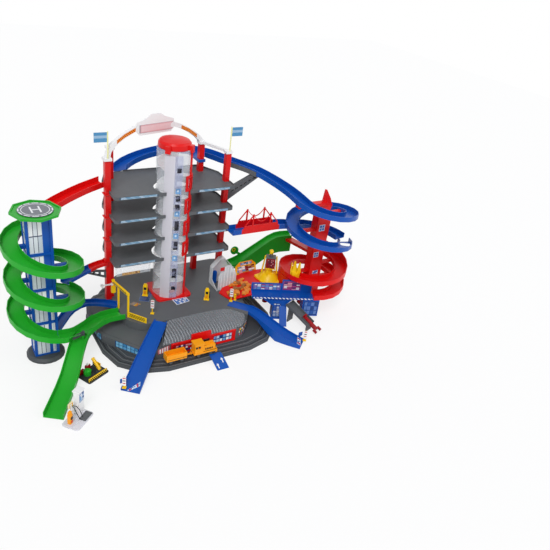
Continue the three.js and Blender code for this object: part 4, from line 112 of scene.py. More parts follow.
def place(tree, kind, inputs=None, **settings):
    node = tree.nodes.new(kind)
    for key, value in settings.items():
        setattr(node, key, value)
    for key, value in (inputs or {}).items():
        if isinstance(value, bpy.types.NodeSocket):
            tree.links.new(value, node.inputs[key])
        else:
            node.inputs[key].default_value = value
    return node


def calc(tree, operation, a, b=0.0, c=0.0):
    return place(tree, "ShaderNodeMath", {0: a, 1: b, 2: c}, operation=operation).outputs[0]


def mixed(tree, fac, a, b):
    return place(tree, "ShaderNodeMix", {"Factor": fac, 6: a, 7: b}, data_type="RGBA").outputs[2]


def tinted(color):
    return (*color, 1)


def spot_on(tree):
    point = place(tree, "ShaderNodeTexCoord").outputs["Object"]
    return place(tree, "ShaderNodeSeparateXYZ", {0: point}).outputs


def step_at(tree, value, edge, blur):
    ends = {0: value, 1: edge - blur, 2: edge + blur}
    return place(tree, "ShaderNodeMapRange", ends, interpolation_type="SMOOTHSTEP").outputs[0]


def start_group(name, inputs, outputs):
    group = bpy.data.node_groups.new(name, "ShaderNodeTree")
    for label, kind in outputs:
        group.interface.new_socket(label, in_out="OUTPUT", socket_type=kind)
    for label, kind, value in inputs:
        socket = group.interface.new_socket(label, in_out="INPUT", socket_type=kind)
        socket.default_value = value
    return group, group.nodes.new("NodeGroupInput"), group.nodes.new("NodeGroupOutput")


def new_material(name):
    material = bpy.data.materials.new(name)
    material.use_nodes = True
    return material, material.node_tree


print("shader helpers ready")

# %% [markdown]
# Toys like this are photographed on white with almost no shadow. The sky gives most of the
# light. A soft sun from the upper left models the forms, and a weaker one from the right fills
# their shaded sides. What the camera sees of the sky is plain white, set apart from the light
# it gives, so the plastics keep their own colours.

# %% Light and sky
SKY_LIGHT, SKY_TINT = 0.62, (0.97, 0.98, 1, 1)


def make_sky():
    world = bpy.data.worlds.new("white_sky")
    bpy.context.scene.world = world
    world.use_nodes = True
    tree = world.node_tree
    tree.nodes.clear()
    ray = place(tree, "ShaderNodeLightPath").outputs
    seen = calc(tree, "MAXIMUM", ray["Is Camera Ray"], ray["Is Transmission Ray"])
    either = calc(tree, "MAXIMUM", seen, ray["Is Glossy Ray"])
    lit = place(tree, "ShaderNodeBackground", {"Color": SKY_TINT, "Strength": SKY_LIGHT})
    white = place(tree, "ShaderNodeBackground", {"Color": (1, 1, 1, 1), "Strength": 1})
    shown = place(tree, "ShaderNodeMixShader", {0: either, 1: lit.outputs[0], 2: white.outputs[0]})
    place(tree, "ShaderNodeOutputWorld", {"Surface": shown.outputs[0]})


def make_sun(name, strength, spread, towards):
    data = bpy.data.lights.new(name, "SUN")
    data.energy = strength
    data.angle = math.radians(spread)
    lamp = put_in_scene(name, data)
    lamp.rotation_euler = Vector(towards).to_track_quat("-Z", "Y").to_euler()


make_sky()
make_sun("key_sun", 1.5, 25, (0.45, 0.6, -0.85))
make_sun("fill_sun", 0.45, 40, (-0.7, 0.35, -0.4))
bpy.context.scene.view_settings.view_transform = "Standard"
print("lit by a white sky and two soft suns")

# %% [markdown]
# The floor is a large white sheet. Lit paint alone would look grey, and a plain white glow would
# hide every shadow. So it is mostly glow to the camera, with a part of real white paint left in,
# and the soft contact shadows still show under the trays.

# %% Floor
FLOOR_HALF, GLOW_SHARE = 6, 0.72


def make_floor():
    mesh = bpy.data.meshes.new("floor")
    corners = [(x * FLOOR_HALF, y * FLOOR_HALF, 0) for x, y in ((-1, -1), (1, -1), (1, 1), (-1, 1))]
    mesh.from_pydata(corners, [], [(0, 1, 2, 3)])
    material, tree = new_material("white_floor")
    tree.nodes.clear()
    ray = place(tree, "ShaderNodeLightPath").outputs
    share = calc(tree, "MULTIPLY", ray["Is Camera Ray"], GLOW_SHARE)
    paint = place(tree, "ShaderNodeBsdfDiffuse", {"Color": (0.93, 0.93, 0.93, 1)})
    glow = place(tree, "ShaderNodeEmission")
    shown = place(tree, "ShaderNodeMixShader", {0: share, 1: paint.outputs[0], 2: glow.outputs[0]})
    place(tree, "ShaderNodeOutputMaterial", {"Surface": shown.outputs[0]})
    mesh.materials.append(material)
    put_in_scene("floor", mesh)


make_floor()
print("floor laid")

# %% [markdown]
# Moulded plastic is never one flat colour up close. The pigment drifts a little, the gloss
# changes where hands and the mould touched it, and the skin has a fine grain. One group gives
# all three, and each plastic uses it with its own values.

# %% Moulded plastic
DRIFT_SCALE, SCUFF_SCALE, GRAIN_SCALE = 9.0, 55.0, 1400.0
SCUFF_DEPTH, GRAIN_HEIGHT = 0.14, 0.0006
PLASTIC_SHINE, PLASTIC_IOR = 0.28, 1.49


def make_moulded_group():
    start_values = [
        ("Color", COLOR, (0.5, 0.5, 0.5, 1)),
        ("Drift", VALUE, 0.06),
        ("Gloss", VALUE, 0.3),
        ("Grain", VALUE, 0.05),
    ]
    results = [("Color", COLOR), ("Roughness", VALUE), ("Normal", VECTOR)]
    group, given, out = start_group("moulded_skin", start_values, results)
    point = place(group, "ShaderNodeTexCoord").outputs["Object"]
    broad = place(group, "ShaderNodeTexNoise", {"Vector": point, "Scale": DRIFT_SCALE, "Detail": 3.0})
    drift = calc(group, "MULTIPLY_ADD", broad.outputs["Fac"], given.outputs["Drift"], 1.0)
    centred = calc(group, "MULTIPLY_ADD", given.outputs["Drift"], -0.5, drift)
    pigment = place(group, "ShaderNodeHueSaturation", {"Value": centred, "Color": given.outputs["Color"]})
    scuffs = place(group, "ShaderNodeTexNoise", {"Vector": point, "Scale": SCUFF_SCALE, "Detail": 4.0})
    rough = calc(group, "MULTIPLY_ADD", scuffs.outputs["Fac"], SCUFF_DEPTH, given.outputs["Gloss"])
    grain = place(group, "ShaderNodeTexNoise", {"Vector": point, "Scale": GRAIN_SCALE, "Detail": 2.0})
    relief = {"Strength": given.outputs["Grain"], "Distance": GRAIN_HEIGHT, "Height": grain.outputs["Fac"]}
    bump = place(group, "ShaderNodeBump", relief)
    group.links.new(pigment.outputs[0], out.inputs["Color"])
    group.links.new(rough, out.inputs["Roughness"])
    group.links.new(bump.outputs[0], out.inputs["Normal"])
    return group


moulded_group = make_moulded_group()


def mould(tree, color, gloss, grain, drift):
    values = {"Color": color, "Drift": drift, "Gloss": gloss, "Grain": grain}
    skin = place(tree, "ShaderNodeGroup", values, node_tree=moulded_group)
    shader = tree.nodes["Principled BSDF"]
    shader.inputs["Specular IOR Level"].default_value = PLASTIC_SHINE
    for source, target in (("Color", "Base Color"), ("Roughness", "Roughness"), ("Normal", "Normal")):
        tree.links.new(skin.outputs[source], shader.inputs[target])
    return shader


def plastic(name, color, gloss=0.26, grain=0.05, drift=0.07):
    material, tree = new_material(name)
    shader = mould(tree, tinted(color), gloss, grain, drift)
    shader.inputs["IOR"].default_value = PLASTIC_IOR
    return material


def recolour(tree, color):
    skin = next(node for node in tree.nodes if node.type == "GROUP")
    tree.links.new(color, skin.inputs["Color"])


RED, BLUE = (0.70, 0.004, 0.004), (0.003, 0.078, 0.40)
finish = {
    "red": plastic("red_plastic", RED),
    "dark_red": plastic("dark_red_plastic", (0.30, 0.004, 0.008)),
    "blue": plastic("blue_plastic", BLUE),
    "green": plastic("green_plastic", (0.016, 0.37, 0.022)),
    "yellow": plastic("yellow_plastic", (0.93, 0.58, 0.008)),
    "orange": plastic("orange_plastic", (0.90, 0.34, 0.006)),
    "white": plastic("white_plastic", (0.84, 0.84, 0.85), gloss=0.3),
    "grey": plastic("grey_plastic", (0.105, 0.112, 0.12), gloss=0.42, grain=0.2),
    "dark_grey": plastic("dark_grey_plastic", (0.062, 0.067, 0.075), gloss=0.45, grain=0.2),
}
print(len(finish), "plastics")

# %% [markdown]
# The lift tube, the roof and the wash are clear or milky plastic. Thin walls hardly bend light,
# so a see-through surface with a strong shine is closer to them than solid glass. Alpha does
# that. The roof is ribbed across: a stripe on X makes each rib denser.

# %% Clear and milky plastic
RIBS_PER_METRE, RIB_SHARE = 95.0, 0.3
ROOF_ALPHA, RIB_ALPHA = 0.12, 0.26


def see_through(name, color, alpha, gloss=0.08):
    material = plastic(name, color, gloss=gloss, grain=0.02, drift=0.03)
    shader = material.node_tree.nodes["Principled BSDF"]
    shader.inputs["Alpha"].default_value = alpha
    shader.inputs["Coat Weight"].default_value = 0.4
    material.blend_method = "BLEND"
    return material


def ribbed_roof():
    material = see_through("ribbed_roof", (0.52, 0.55, 0.59), ROOF_ALPHA)
    tree = material.node_tree
    turns = calc(tree, "FRACT", calc(tree, "MULTIPLY", spot_on(tree)["X"], RIBS_PER_METRE))
    rib = calc(tree, "LESS_THAN", turns, RIB_SHARE)
    shader = tree.nodes["Principled BSDF"]
    tree.links.new(calc(tree, "MULTIPLY_ADD", rib, RIB_ALPHA, ROOF_ALPHA), shader.inputs["Alpha"])
    shader.inputs["Coat Weight"].default_value = 0.15
    return material


finish["clear"] = see_through("clear_plastic", (0.80, 0.85, 0.90), 0.24)
finish["smoked"] = ribbed_roof()
finish["milky"] = see_through("milky_plastic", (0.86, 0.89, 0.91), 0.62, gloss=0.2)
print("see-through plastics: 3")

# %% [markdown]
# Each solid now gets its plastic. A plastic could come straight from the record's slots, but a
# few solids look different from their slot, such as the milky wash, so all are listed here.

# %% Plastics on the solids
LOOKS = {
    "red": "fascia_panel lift_gates lift_cap post_front_left post_front_right post_back_left post_back_right "
    "red_track_upper red_track_lower right_column red_spiral red_square",
    "dark_red": "launcher",
    "blue": "flag_left flag_right left_column blue_link blue_arch_track blue_spiral bridge_track "
    "blue_platform wash_brush front_ramp right_ramp small_ramp",
    "green": "helipad green_spiral green_fork jump_ramp jump_lever",
    "yellow": "yellow_tower yellow_crown gantry building_site",
    "orange": "loco wagon",
    "white": "lift_screw arch gantry_boom filling_station",
    "grey": "road_block deck_1 deck_2 deck_3 deck_4 left_truss right_strut launch_chute",
    "dark_grey": "base_tray left_foot diverter_flap loco_wheels_front loco_wheels_back wagon_wheels_front "
    "wagon_wheels_back",
    "clear": "lift_tube deck_sign_board",
    "smoked": "tunnel_roof",
    "milky": "wash_housing lift_guide",
}
look_of = {node: look for look, names in LOOKS.items() for node in names.split()}


def dress(node, material):
    slots = nodes[node].data.materials
    if len(slots) == 0:
        slots.append(material)
    for i in range(len(slots)):
        slots[i] = material


for node, look in look_of.items():
    dress(node, finish[look])
print(len(look_of), "solids dressed")

# %% [markdown]
# The solids are faceted so that they stay light. A curved one is shown by a smooth copy: its
# loose triangles are merged, its flat faces are shaded smooth, and every edge that turns by more
# than about thirty degrees is marked sharp, so that rims and corners stay crisp.

# %% Smooth copies of the curved solids
SHARP_ANGLE = math.radians(31)
MERGE_WITHIN, SLIVER = 0.00002, 0.00001
CURVED = (
    "lift_tube lift_screw lift_guide lift_cap lift_gates green_spiral green_fork blue_spiral red_spiral "
    "red_track_upper red_track_lower blue_link blue_arch_track bridge_track helipad left_foot base_tray "
    "road_block arch flag_left flag_right yellow_tower yellow_crown tunnel_roof wash_housing wash_brush "
    "jump_ramp jump_lever front_ramp right_ramp small_ramp launch_chute launcher loco wagon right_strut "
    "left_truss fascia_panel deck_1 deck_2 deck_3 deck_4 red_square blue_platform left_column right_column"
)


def smooth_copy(node, material):
    work = bmesh.new()
    work.from_mesh(nodes[node].data)
    bmesh.ops.remove_doubles(work, verts=work.verts, dist=MERGE_WITHIN)
    bmesh.ops.dissolve_degenerate(work, edges=work.edges, dist=SLIVER)
    for face in work.faces:
        face.smooth = True
        face.material_index = 0
    for edge in work.edges:
        edge.smooth = len(edge.link_faces) == 2 and edge.calc_face_angle(0.0) < SHARP_ANGLE
    mesh = bpy.data.meshes.new(node + "_skin")
    work.to_mesh(mesh)
    work.free()
    mesh.materials.append(material)
    piece = put_in_scene(node + "_skin", mesh)
    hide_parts(node)
    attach(piece, nodes[node].get("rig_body", "garage"))
    return piece


skins = {node: smooth_copy(node, finish[look_of[node]]) for node in CURVED.split()}
print(len(skins), "smooth copies")

# %% [markdown]
# Small fittings are gathered in one mesh per piece. A few helpers add bevelled boxes, tubes,
# balls and cut plates to a mesh in millimetres, each with the number of its material, and one
# helper turns the mesh into a named piece that rides on its body.

# %% Helpers for small fittings
def raised(height):
    return Vector((0, 0, height))


def made_of(work, faces, index, smooth=False):
    for face in faces:
        face.material_index = index
        face.smooth = smooth


def add_box(work, centre, size, index=0, turn=0.0, bevel=0.6):
    before = set(work.faces)
    new = bmesh.ops.create_cube(work, size=1)["verts"]
    form = Matrix.Diagonal((*[v * MM for v in size], 1))
    spin = Matrix.Rotation(math.radians(turn), 4, "Z")
    bmesh.ops.transform(work, matrix=Matrix.Translation(Vector(centre) * MM) @ spin @ form, verts=new)
    edges = list({edge for vert in new for edge in vert.link_edges})
    bmesh.ops.bevel(work, geom=edges, offset=bevel * MM, segments=2, profile=0.6, affect="EDGES")
    made_of(work, [face for face in work.faces if face not in before], index)


def add_tube(work, start, end, radius, index=0, sides=14, radius_end=None):
    a, b = Vector(start) * MM, Vector(end) * MM
    turn = (b - a).to_track_quat("Z", "Y").to_matrix().to_4x4()
    made = bmesh.ops.create_cone(
        work,
        cap_ends=True,
        segments=sides,
        radius1=radius * MM,
        radius2=(radius if radius_end is None else radius_end) * MM,
        depth=(b - a).length,
        matrix=Matrix.Translation((a + b) / 2) @ turn,
    )["verts"]
    faces = {face for vert in made for face in vert.link_faces}
    made_of(work, faces, index, smooth=True)
    for cap in (face for face in faces if len(face.verts) > 4):
        cap.smooth = False
        for edge in cap.edges:
            edge.smooth = False


def add_ball(work, centre, radius, index=0):
    form = Matrix.Translation(Vector(centre) * MM)
    made = bmesh.ops.create_uvsphere(work, u_segments=18, v_segments=11, radius=radius * MM, matrix=form)
    made_of(work, {face for vert in made["verts"] for face in vert.link_faces}, index, smooth=True)


def add_plate(work, outline, origin, across, up, thick, index=0):
    along, rise = Vector(across).normalized(), Vector(up).normalized()
    out = along.cross(rise)
    lower = [work.verts.new((Vector(origin) + along * x + rise * y) * MM) for x, y in outline]
    face = work.faces.new(lower)
    grown = bmesh.ops.extrude_face_region(work, geom=[face])["geom"]
    upper = [item for item in grown if isinstance(item, bmesh.types.BMVert)]
    bmesh.ops.translate(work, vec=out * thick * MM, verts=upper)
    faces = {face for vert in upper + lower for face in vert.link_faces}
    bmesh.ops.recalc_face_normals(work, faces=list(faces))
    made_of(work, faces, index)


def finish_piece(name, work, materials, body="garage"):
    mesh = bpy.data.meshes.new(name)
    work.to_mesh(mesh)
    work.free()
    for material in materials:
        mesh.materials.append(material)
    piece = put_in_scene(name, mesh)
    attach(piece, body)
    return piece


print("fitting helpers ready")

# %% [markdown]
# The garage is covered in printed labels. A label is a thin film that follows whatever it is
# stuck on, flat or round, so each one is a small grid whose points are dropped on the solid
# with a ray. The film is 0.3 mm thick and closed all round, and it keeps its own UV square.

# %% Label films
REACH, FILM_FRONT, FILM_BACK = 0.03, 0.35, 0.05
surfaces = {}


def surface_of(names):
    if names not in surfaces:
        points, faces = [], []
        for name in names.split():
            mesh = nodes[name].data
            first = len(points)
            points.extend(vertex.co.copy() for vertex in mesh.vertices)
            faces.extend(tuple(first + i for i in polygon.vertices) for polygon in mesh.polygons)
        surfaces[names] = BVHTree.FromPolygons(points, faces)
    return surfaces[names]


def lay_film(work, layer, hosts, corners, towards, counts=(1, 1)):
    tree, ray = surface_of(hosts), Vector(towards).normalized()
    a, b, c, d = [Vector(point) * MM for point in corners]
    across, up = counts
    front, back, spots = [], [], {}
    for j in range(up + 1):
        for i in range(across + 1):
            u, v = i / across, j / up
            aim = (a * (1 - u) + b * u) * (1 - v) + (d * (1 - u) + c * u) * v
            hit, normal = tree.ray_cast(aim - ray * REACH, ray, REACH * 2)[:2]
            if hit is None:
                hit, normal = tree.find_nearest(aim)[:2]
            if normal.dot(ray) > 0:
                normal = -normal
            front.append(work.verts.new(hit + normal * FILM_FRONT * MM))
            back.append(work.verts.new(hit + normal * FILM_BACK * MM))
            spots[front[-1]] = spots[back[-1]] = (u, v)
    row = across + 1
    made = []
    for j in range(up):
        for i in range(across):
            quad = [j * row + i, j * row + i + 1, (j + 1) * row + i + 1, (j + 1) * row + i]
            made.append(work.faces.new([front[k] for k in quad]))
            made.append(work.faces.new([back[k] for k in reversed(quad)]))
    rim = [i for i in range(across)] + [j * row + across for j in range(up)]
    rim += [up * row + i for i in range(across, 0, -1)] + [j * row for j in range(up, 0, -1)]
    for p, q in zip(rim, rim[1:] + rim[:1]):
        made.append(work.faces.new([front[p], back[p], back[q], front[q]]))
    bmesh.ops.recalc_face_normals(work, faces=made)
    for face in made:
        for loop in face.loops:
            loop[layer].uv = spots[loop.vert]


def labels(name, material, films):
    work = bmesh.new()
    layer = work.loops.layers.uv.new("UVMap")
    for film in films:
        lay_film(work, layer, *film)
    return finish_piece(name, work, [material])


def upright(start, end):
    (x0, y0, low0, high0), (x1, y1, low1, high1) = start, end
    return (x0, y0, low0), (x1, y1, low1), (x1, y1, high1), (x0, y0, high0)


def wall_y(x0, x1, z0, z1, y):
    return upright((x0, y, z0, z1), (x1, y, z0, z1)), (0, 1, 0)


print("label helpers ready")

# %% [markdown]
# The prints are made of cells: windows, blocks of colour, slanted bars. One group cuts the UV
# square into columns and rows, says whether a point is inside a cell, gives each cell its own
# random number, and marks the border. The colours are chosen in each material.

# %% Printed cells
CELL_INPUTS = ("Columns", "Rows", "Slant", "Gap Across", "Gap Up", "Border", "Seed")


def make_cells_group():
    inputs = [(label, VALUE, 0.0) for label in CELL_INPUTS]
    results = [("Inside", VALUE), ("Random", VALUE), ("Rim", VALUE)]
    group, given, out = start_group("printed_cells", inputs, results)
    uv = place(group, "ShaderNodeSeparateXYZ", {0: place(group, "ShaderNodeTexCoord").outputs["UV"]})
    lean = calc(group, "MULTIPLY", uv.outputs["Y"], given.outputs["Slant"])
    across = calc(group, "MULTIPLY_ADD", uv.outputs["X"], given.outputs["Columns"], lean)
    up = calc(group, "MULTIPLY", uv.outputs["Y"], given.outputs["Rows"])
    inside = 1.0
    for value, gap in ((across, "Gap Across"), (up, "Gap Up")):
        off_centre = calc(group, "ABSOLUTE", calc(group, "SUBTRACT", calc(group, "FRACT", value), 0.5))
        limit = calc(group, "SUBTRACT", 0.5, given.outputs[gap])
        inside = calc(group, "MULTIPLY", inside, calc(group, "LESS_THAN", off_centre, limit))
    number = {"X": calc(group, "FLOOR", across), "Y": calc(group, "FLOOR", up), "Z": given.outputs["Seed"]}
    cell = place(group, "ShaderNodeCombineXYZ", number)
    noise = place(group, "ShaderNodeTexWhiteNoise", {"Vector": cell.outputs[0]}, noise_dimensions="3D")
    rim = 0.0
    for axis in "XY":
        off_centre = calc(group, "ABSOLUTE", calc(group, "SUBTRACT", uv.outputs[axis], 0.5))
        limit = calc(group, "SUBTRACT", 0.5, given.outputs["Border"])
        rim = calc(group, "MAXIMUM", rim, calc(group, "GREATER_THAN", off_centre, limit))
    for label, value in (("Inside", inside), ("Random", noise.outputs["Value"]), ("Rim", rim)):
        group.links.new(value, out.inputs[label])
    return group


cells_group = make_cells_group()


def print_look(name, ground, inks, cells, gaps=(0.1, 0.1), slant=0.0, border=0.0, edge=None, seed=0.0):
    material, tree = new_material(name)
    values = dict(zip(CELL_INPUTS, (*cells, slant, *gaps, border, seed)))
    found = place(tree, "ShaderNodeGroup", node_tree=cells_group)
    for label, value in values.items():
        found.inputs[label].default_value = value
    ramp = place(tree, "ShaderNodeValToRGB", {"Fac": found.outputs["Random"]})
    ramp.color_ramp.interpolation = "CONSTANT"
    for i, ink in enumerate(inks):
        stop = ramp.color_ramp.elements[i] if i < 2 else ramp.color_ramp.elements.new(1)
        stop.position = i / len(inks)
        stop.color = tinted(ink)
    if len(inks) == 1:
        ramp.color_ramp.elements[1].color = tinted(inks[0])
    color = mixed(tree, found.outputs["Inside"], tinted(ground), ramp.outputs[0])
    color = mixed(tree, found.outputs["Rim"], color, tinted(edge or ground))
    mould(tree, color, gloss=0.2, grain=0.03, drift=0.08)
    return material


WHITE, PALE, SKY, NAVY = (0.83, 0.84, 0.86), (0.45, 0.58, 0.74), (0.13, 0.33, 0.62), (0.01, 0.035, 0.16)
BLACK, DEEP_RED, SIGNAL = (0.012, 0.012, 0.015), (0.20, 0.006, 0.012), (0.62, 0.01, 0.012)
AMBER, ORANGE, PINK, STONE = (0.92, 0.58, 0.01), (0.80, 0.20, 0.01), (0.70, 0.34, 0.38), (0.30, 0.31, 0.33)
BARS = (0.25, -0.1)
print("printed cells ready")

# %% [markdown]
# The front edge of every parking deck carries a light blue strip with paler dashes, on both
# sides of the lift, and a narrow brown and orange label lies on the clear board at the left. A
# mask in the deck's own material could paint the dashes, but a film has its own UV square, so
# its dashes stay straight and even.

# %% Deck strips
DECK_FRONT, STRIP_MARGIN = -50, 1.8
DASH_INKS = [(0.20, 0.36, 0.50), (0.28, 0.44, 0.58), (0.42, 0.55, 0.66), (0.12, 0.26, 0.42)]
BROWN_INKS = [(0.55, 0.28, 0.10), (0.62, 0.40, 0.16), (0.25, 0.12, 0.05)]
strip_look = print_look(
    "deck_strip_print", (0.10, 0.20, 0.32), DASH_INKS, (9, 2), (0.04, 0.12), 0.8, 0.04, (0.07, 0.10, 0.14)
)
brown_look = print_look(
    "deck_board_print", (0.30, 0.16, 0.07), BROWN_INKS, (9, 1), (0.08, 0.16), 0.6, 0.05, (0.45, 0.26, 0.10)
)
strips = []
for deck in ("deck_1", "deck_2", "deck_3", "deck_4"):
    low, high = (v.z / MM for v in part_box(deck))
    for left, right in ((-206, -72), (72, 210)):
        front_edge = wall_y(left, right, low + STRIP_MARGIN, high - STRIP_MARGIN, DECK_FRONT)
        strips.append((deck, *front_edge, (6, 1)))
labels("deck_strips", strip_look, strips)
board_film = ("deck_sign_board", *wall_y(-196, -132, 203.5, 214, DECK_FRONT))
labels("deck_board_label", brown_look, [board_film])
print("deck strips:", len(strips))

# %% [markdown]
# The sign on top of the arch is a white plate with a soft pink panel and a grey line. On both
# sides of it the arch has slanted orange and red bands. Each band is given by its ends, as a
# place on the floor plan with its lower and its upper height, and the films follow the arch.

# %% Arch bands and sign panel
band_look = print_look("arch_band_print", (0.86, 0.30, 0.01), [(0.45, 0.03, 0.01)], (6, 1), (0.27, -0.1), 1.2)
PANEL_PINK, PALE_PINK, LINE_GREY = (0.72, 0.42, 0.45), (0.80, 0.58, 0.60), (0.36, 0.30, 0.33)
panel_look = print_look(
    "sign_panel_print", PANEL_PINK, [PALE_PINK], (1, 1), (0.05, 0.16), 0, 0.03, LINE_GREY
)
ACROSS_ARCH = (-0.26, 0.96, 0)
LEFT_BAND = ((-189, 22, 651, 663), (-160, 30, 668, 680), (-121, 41, 683, 695))
RIGHT_BAND = ((62, 91, 669, 682), (95, 100, 653, 666), (132, 110, 628, 641))
arch_films = []
for band in (LEFT_BAND, RIGHT_BAND):
    for start, end in zip(band, band[1:]):
        arch_films.append(("arch", upright(start, end), ACROSS_ARCH))
labels("arch_bands", band_look, arch_films)
sign_film = ("arch", upright((-108, 42, 675, 702), (30, 79, 675, 702)), ACROSS_ARCH, (8, 3))
labels("arch_sign_panel", panel_look, [sign_film])
print("arch dressed with", len(arch_films), "bands")

# %% [markdown]
# The lift's white guide has dark windows between its floors, and pale blue stickers between
# them. The windows are opaque dark films, painted shade that stands for the dark inside of the
# shaft. The guide is round, so each film is given by its height and width, and its corners are
# found on the circle.

# %% Lift windows and stickers
GUIDE_ANGLE, GUIDE_RADIUS = -97, 65.5
HALF_RADIAN = 28.6
# Painted shade: near-black inks stand for the shade inside the shaft, seen through the windows.
SHAFT_SHADE_INKS = [(0.03, 0.03, 0.05), (0.01, 0.01, 0.015)]
window_shade_look = print_look(
    "lift_window_shade_print", (0.02, 0.02, 0.035), SHAFT_SHADE_INKS, (2, 3), (0.06, 0.05), 0, 0.04, BLACK
)
STICKER_BLUE, STICKER_PALE, STICKER_EDGE = (0.16, 0.36, 0.66), (0.62, 0.76, 0.90), (0.24, 0.44, 0.70)
sticker_look = print_look(
    "lift_sticker_print", STICKER_BLUE, [STICKER_PALE], (1, 1), (0.3, 0.3), 0, 0.08, STICKER_EDGE
)


def guide_film(z, tall, wide):
    ends = []
    for side in (-1, 1):
        angle = math.radians(GUIDE_ANGLE + side * wide / GUIDE_RADIUS * HALF_RADIAN)
        x, y = GUIDE_RADIUS * math.cos(angle), GUIDE_RADIUS * math.sin(angle)
        ends.append((x, y, z - tall / 2, z + tall / 2))
    middle = math.radians(GUIDE_ANGLE)
    return ("lift_guide lift_tube", upright(*ends), (-math.cos(middle), -math.sin(middle), 0), (3, 2))


sticker_heights = [505, 421, 335, 246]
windows = [(579, 16), (478, 18), (447, 18), (377, 36), (298, 36), (183, 38), (120, 14)]
# The window films are painted shade for the dark inside of the shaft.
labels("lift_window_shade", window_shade_look, [guide_film(z, tall, 15) for z, tall in windows])
labels("lift_stickers", sticker_look, [guide_film(z, 22, 17) for z in sticker_heights])
print("windows:", len(windows), "stickers:", len(sticker_heights))

# %% [markdown]
# The landing pad on the left tower is a grey disc with pale rings, set in the green plate, with
# the usual white landing letter made of three bars. Rings and bars stand only 0.15 mm above the
# disc, but real geometry keeps the rings round, where a printed film would need a fine grid.

# %% Landing pad
PAD_X, PAD_Y = -478, -120
pad_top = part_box("helipad")[1].z / MM


def add_ring(work, inner, outer, z0, z1, index, gaps=0, sides=48):
    step = 2 * math.pi / sides
    for k in range(sides):
        if gaps and k % gaps == 0:
            continue
        corners = []
        for angle in (k * step, (k + 1) * step):
            for radius in (inner, outer):
                point = (PAD_X + radius * math.cos(angle), PAD_Y + radius * math.sin(angle))
                corners.append([Vector((*point, z)) * MM for z in (z0, z1)])
        a, b, c, d = [[work.verts.new(p) for p in pair] for pair in corners]
        faces = [(a[1], b[1], d[1], c[1]), (a[0], c[0], d[0], b[0]), (a[0], a[1], c[1], c[0])]
        faces += [(b[0], d[0], d[1], b[1]), (a[0], b[0], b[1], a[1]), (c[0], c[1], d[1], d[0])]
        made = [work.faces.new(face) for face in faces]
        bmesh.ops.recalc_face_normals(work, faces=made)
        made_of(work, made, index)


finish["pad_grey"] = plastic("pad_grey_print", (0.17, 0.18, 0.21), gloss=0.35)
finish["pad_white"] = plastic("pad_white_print", (0.78, 0.79, 0.82), gloss=0.3)
work = bmesh.new()
add_tube(work, (PAD_X, PAD_Y, pad_top - 1.4), (PAD_X, PAD_Y, pad_top - 0.1), 50, 0, 48)
add_ring(work, 45, 48.5, pad_top - 1, pad_top + 0.05, 1, gaps=4)
add_ring(work, 38, 40, pad_top - 1, pad_top + 0.05, 1)
for x, wide, deep in ((-12, 5, 42), (12, 5, 42), (0, 20, 5)):
    add_box(work, (PAD_X + x, PAD_Y, pad_top - 0.4), (wide, deep, 0.9), 1, bevel=0.2)
finish_piece("landing_pad_print", work, [finish["pad_grey"], finish["pad_white"]])
print("landing pad top at", round(pad_top), "mm")

# %% [markdown]
# The square column of the left tower is dark blue, and each of its framed bays has a pale
# printed panel of tall windows. The films lie in the recesses between the cross bars, and a
# loop over the bays places them, because all bays have the same height.

# %% Window panels of the left column
BAY, COLUMN_LOW, FRAME = 123.5, 14, 5
COLUMN_FRONT, COLUMN_SIDE = -145, -513
PANEL_INKS = [(0.55, 0.60, 0.68), WHITE, (0.70, 0.74, 0.80), WHITE]
column_look = print_look(
    "column_window_print", (0.03, 0.045, 0.10), PANEL_INKS, (3, 2), (0.07, 0.03), 0, 0.02, PALE
)
column_films = []
for bay in range(4):
    z0, z1 = COLUMN_LOW + BAY * bay + FRAME, COLUMN_LOW + BAY * (bay + 1) - FRAME
    column_films.append(("left_column", *wall_y(-507, -469, z0, z1, COLUMN_FRONT)))
    side = upright((COLUMN_SIDE, -102, z0, z1), (COLUMN_SIDE, -138, z0, z1))
    column_films.append(("left_column", side, (1, 0, 0)))
    if bay < 2:
        column_films.append(("left_column", *wall_y(-459, -449, z0, z1, COLUMN_FRONT)))
labels("column_windows", column_look, column_films)
print("window panels:", len(column_films))

# %% [markdown]
# Two tracks change colour along their way: the blue bridge has a red middle, and the lower
# track on the left is red near its post and blue further out. Each could be cut in two pieces,
# but a track is one moulding, so a mask on the place of a point chooses between the colours.

# %% Tracks in two colours
BRIDGE_MIDDLE, BRIDGE_INSIDE, BRIDGE_RAILS = -0.0754, 0.0222, 0.345
RED_FROM, RED_TO = 0.236, 0.398
LOWER_TRACK_EDGE = -0.290


def lower_track_finish():
    material = plastic("lower_track_plastic", BLUE)
    tree = material.node_tree
    mask = step_at(tree, spot_on(tree)["X"], LOWER_TRACK_EDGE, 0.0015)
    recolour(tree, mixed(tree, mask, tinted(BLUE), tinted(RED)))
    return material


def bridge_finish():
    material = plastic("bridge_plastic", BLUE)
    tree = material.node_tree
    x, y, z = spot_on(tree)
    off_middle = calc(tree, "ABSOLUTE", calc(tree, "ADD", y, -BRIDGE_MIDDLE))
    beside = calc(tree, "GREATER_THAN", off_middle, BRIDGE_INSIDE)
    above = calc(tree, "GREATER_THAN", z, BRIDGE_RAILS)
    before, after = calc(tree, "GREATER_THAN", x, RED_FROM), calc(tree, "LESS_THAN", x, RED_TO)
    within = calc(tree, "MULTIPLY", before, after)
    red = calc(tree, "MULTIPLY", calc(tree, "MAXIMUM", beside, above), within)
    recolour(tree, mixed(tree, red, tinted(BLUE), tinted(RED)))
    return material


skins["bridge_track"].data.materials[0] = bridge_finish()
skins["red_track_lower"].data.materials[0] = lower_track_finish()
print("two-coloured tracks: 2")

# %% [markdown]
# A flag is light blue on a pale yellow pole, both moulded in one, with a paler band across the
# cloth. The same kind of mask splits them at the pole.

# %% Flags
POLE_HALF, POLE_INSET = 0.0026, 0.0022
BAND_HEIGHT, BAND_HALF, BAND_SHARE = 0.681, 0.0045, 0.7


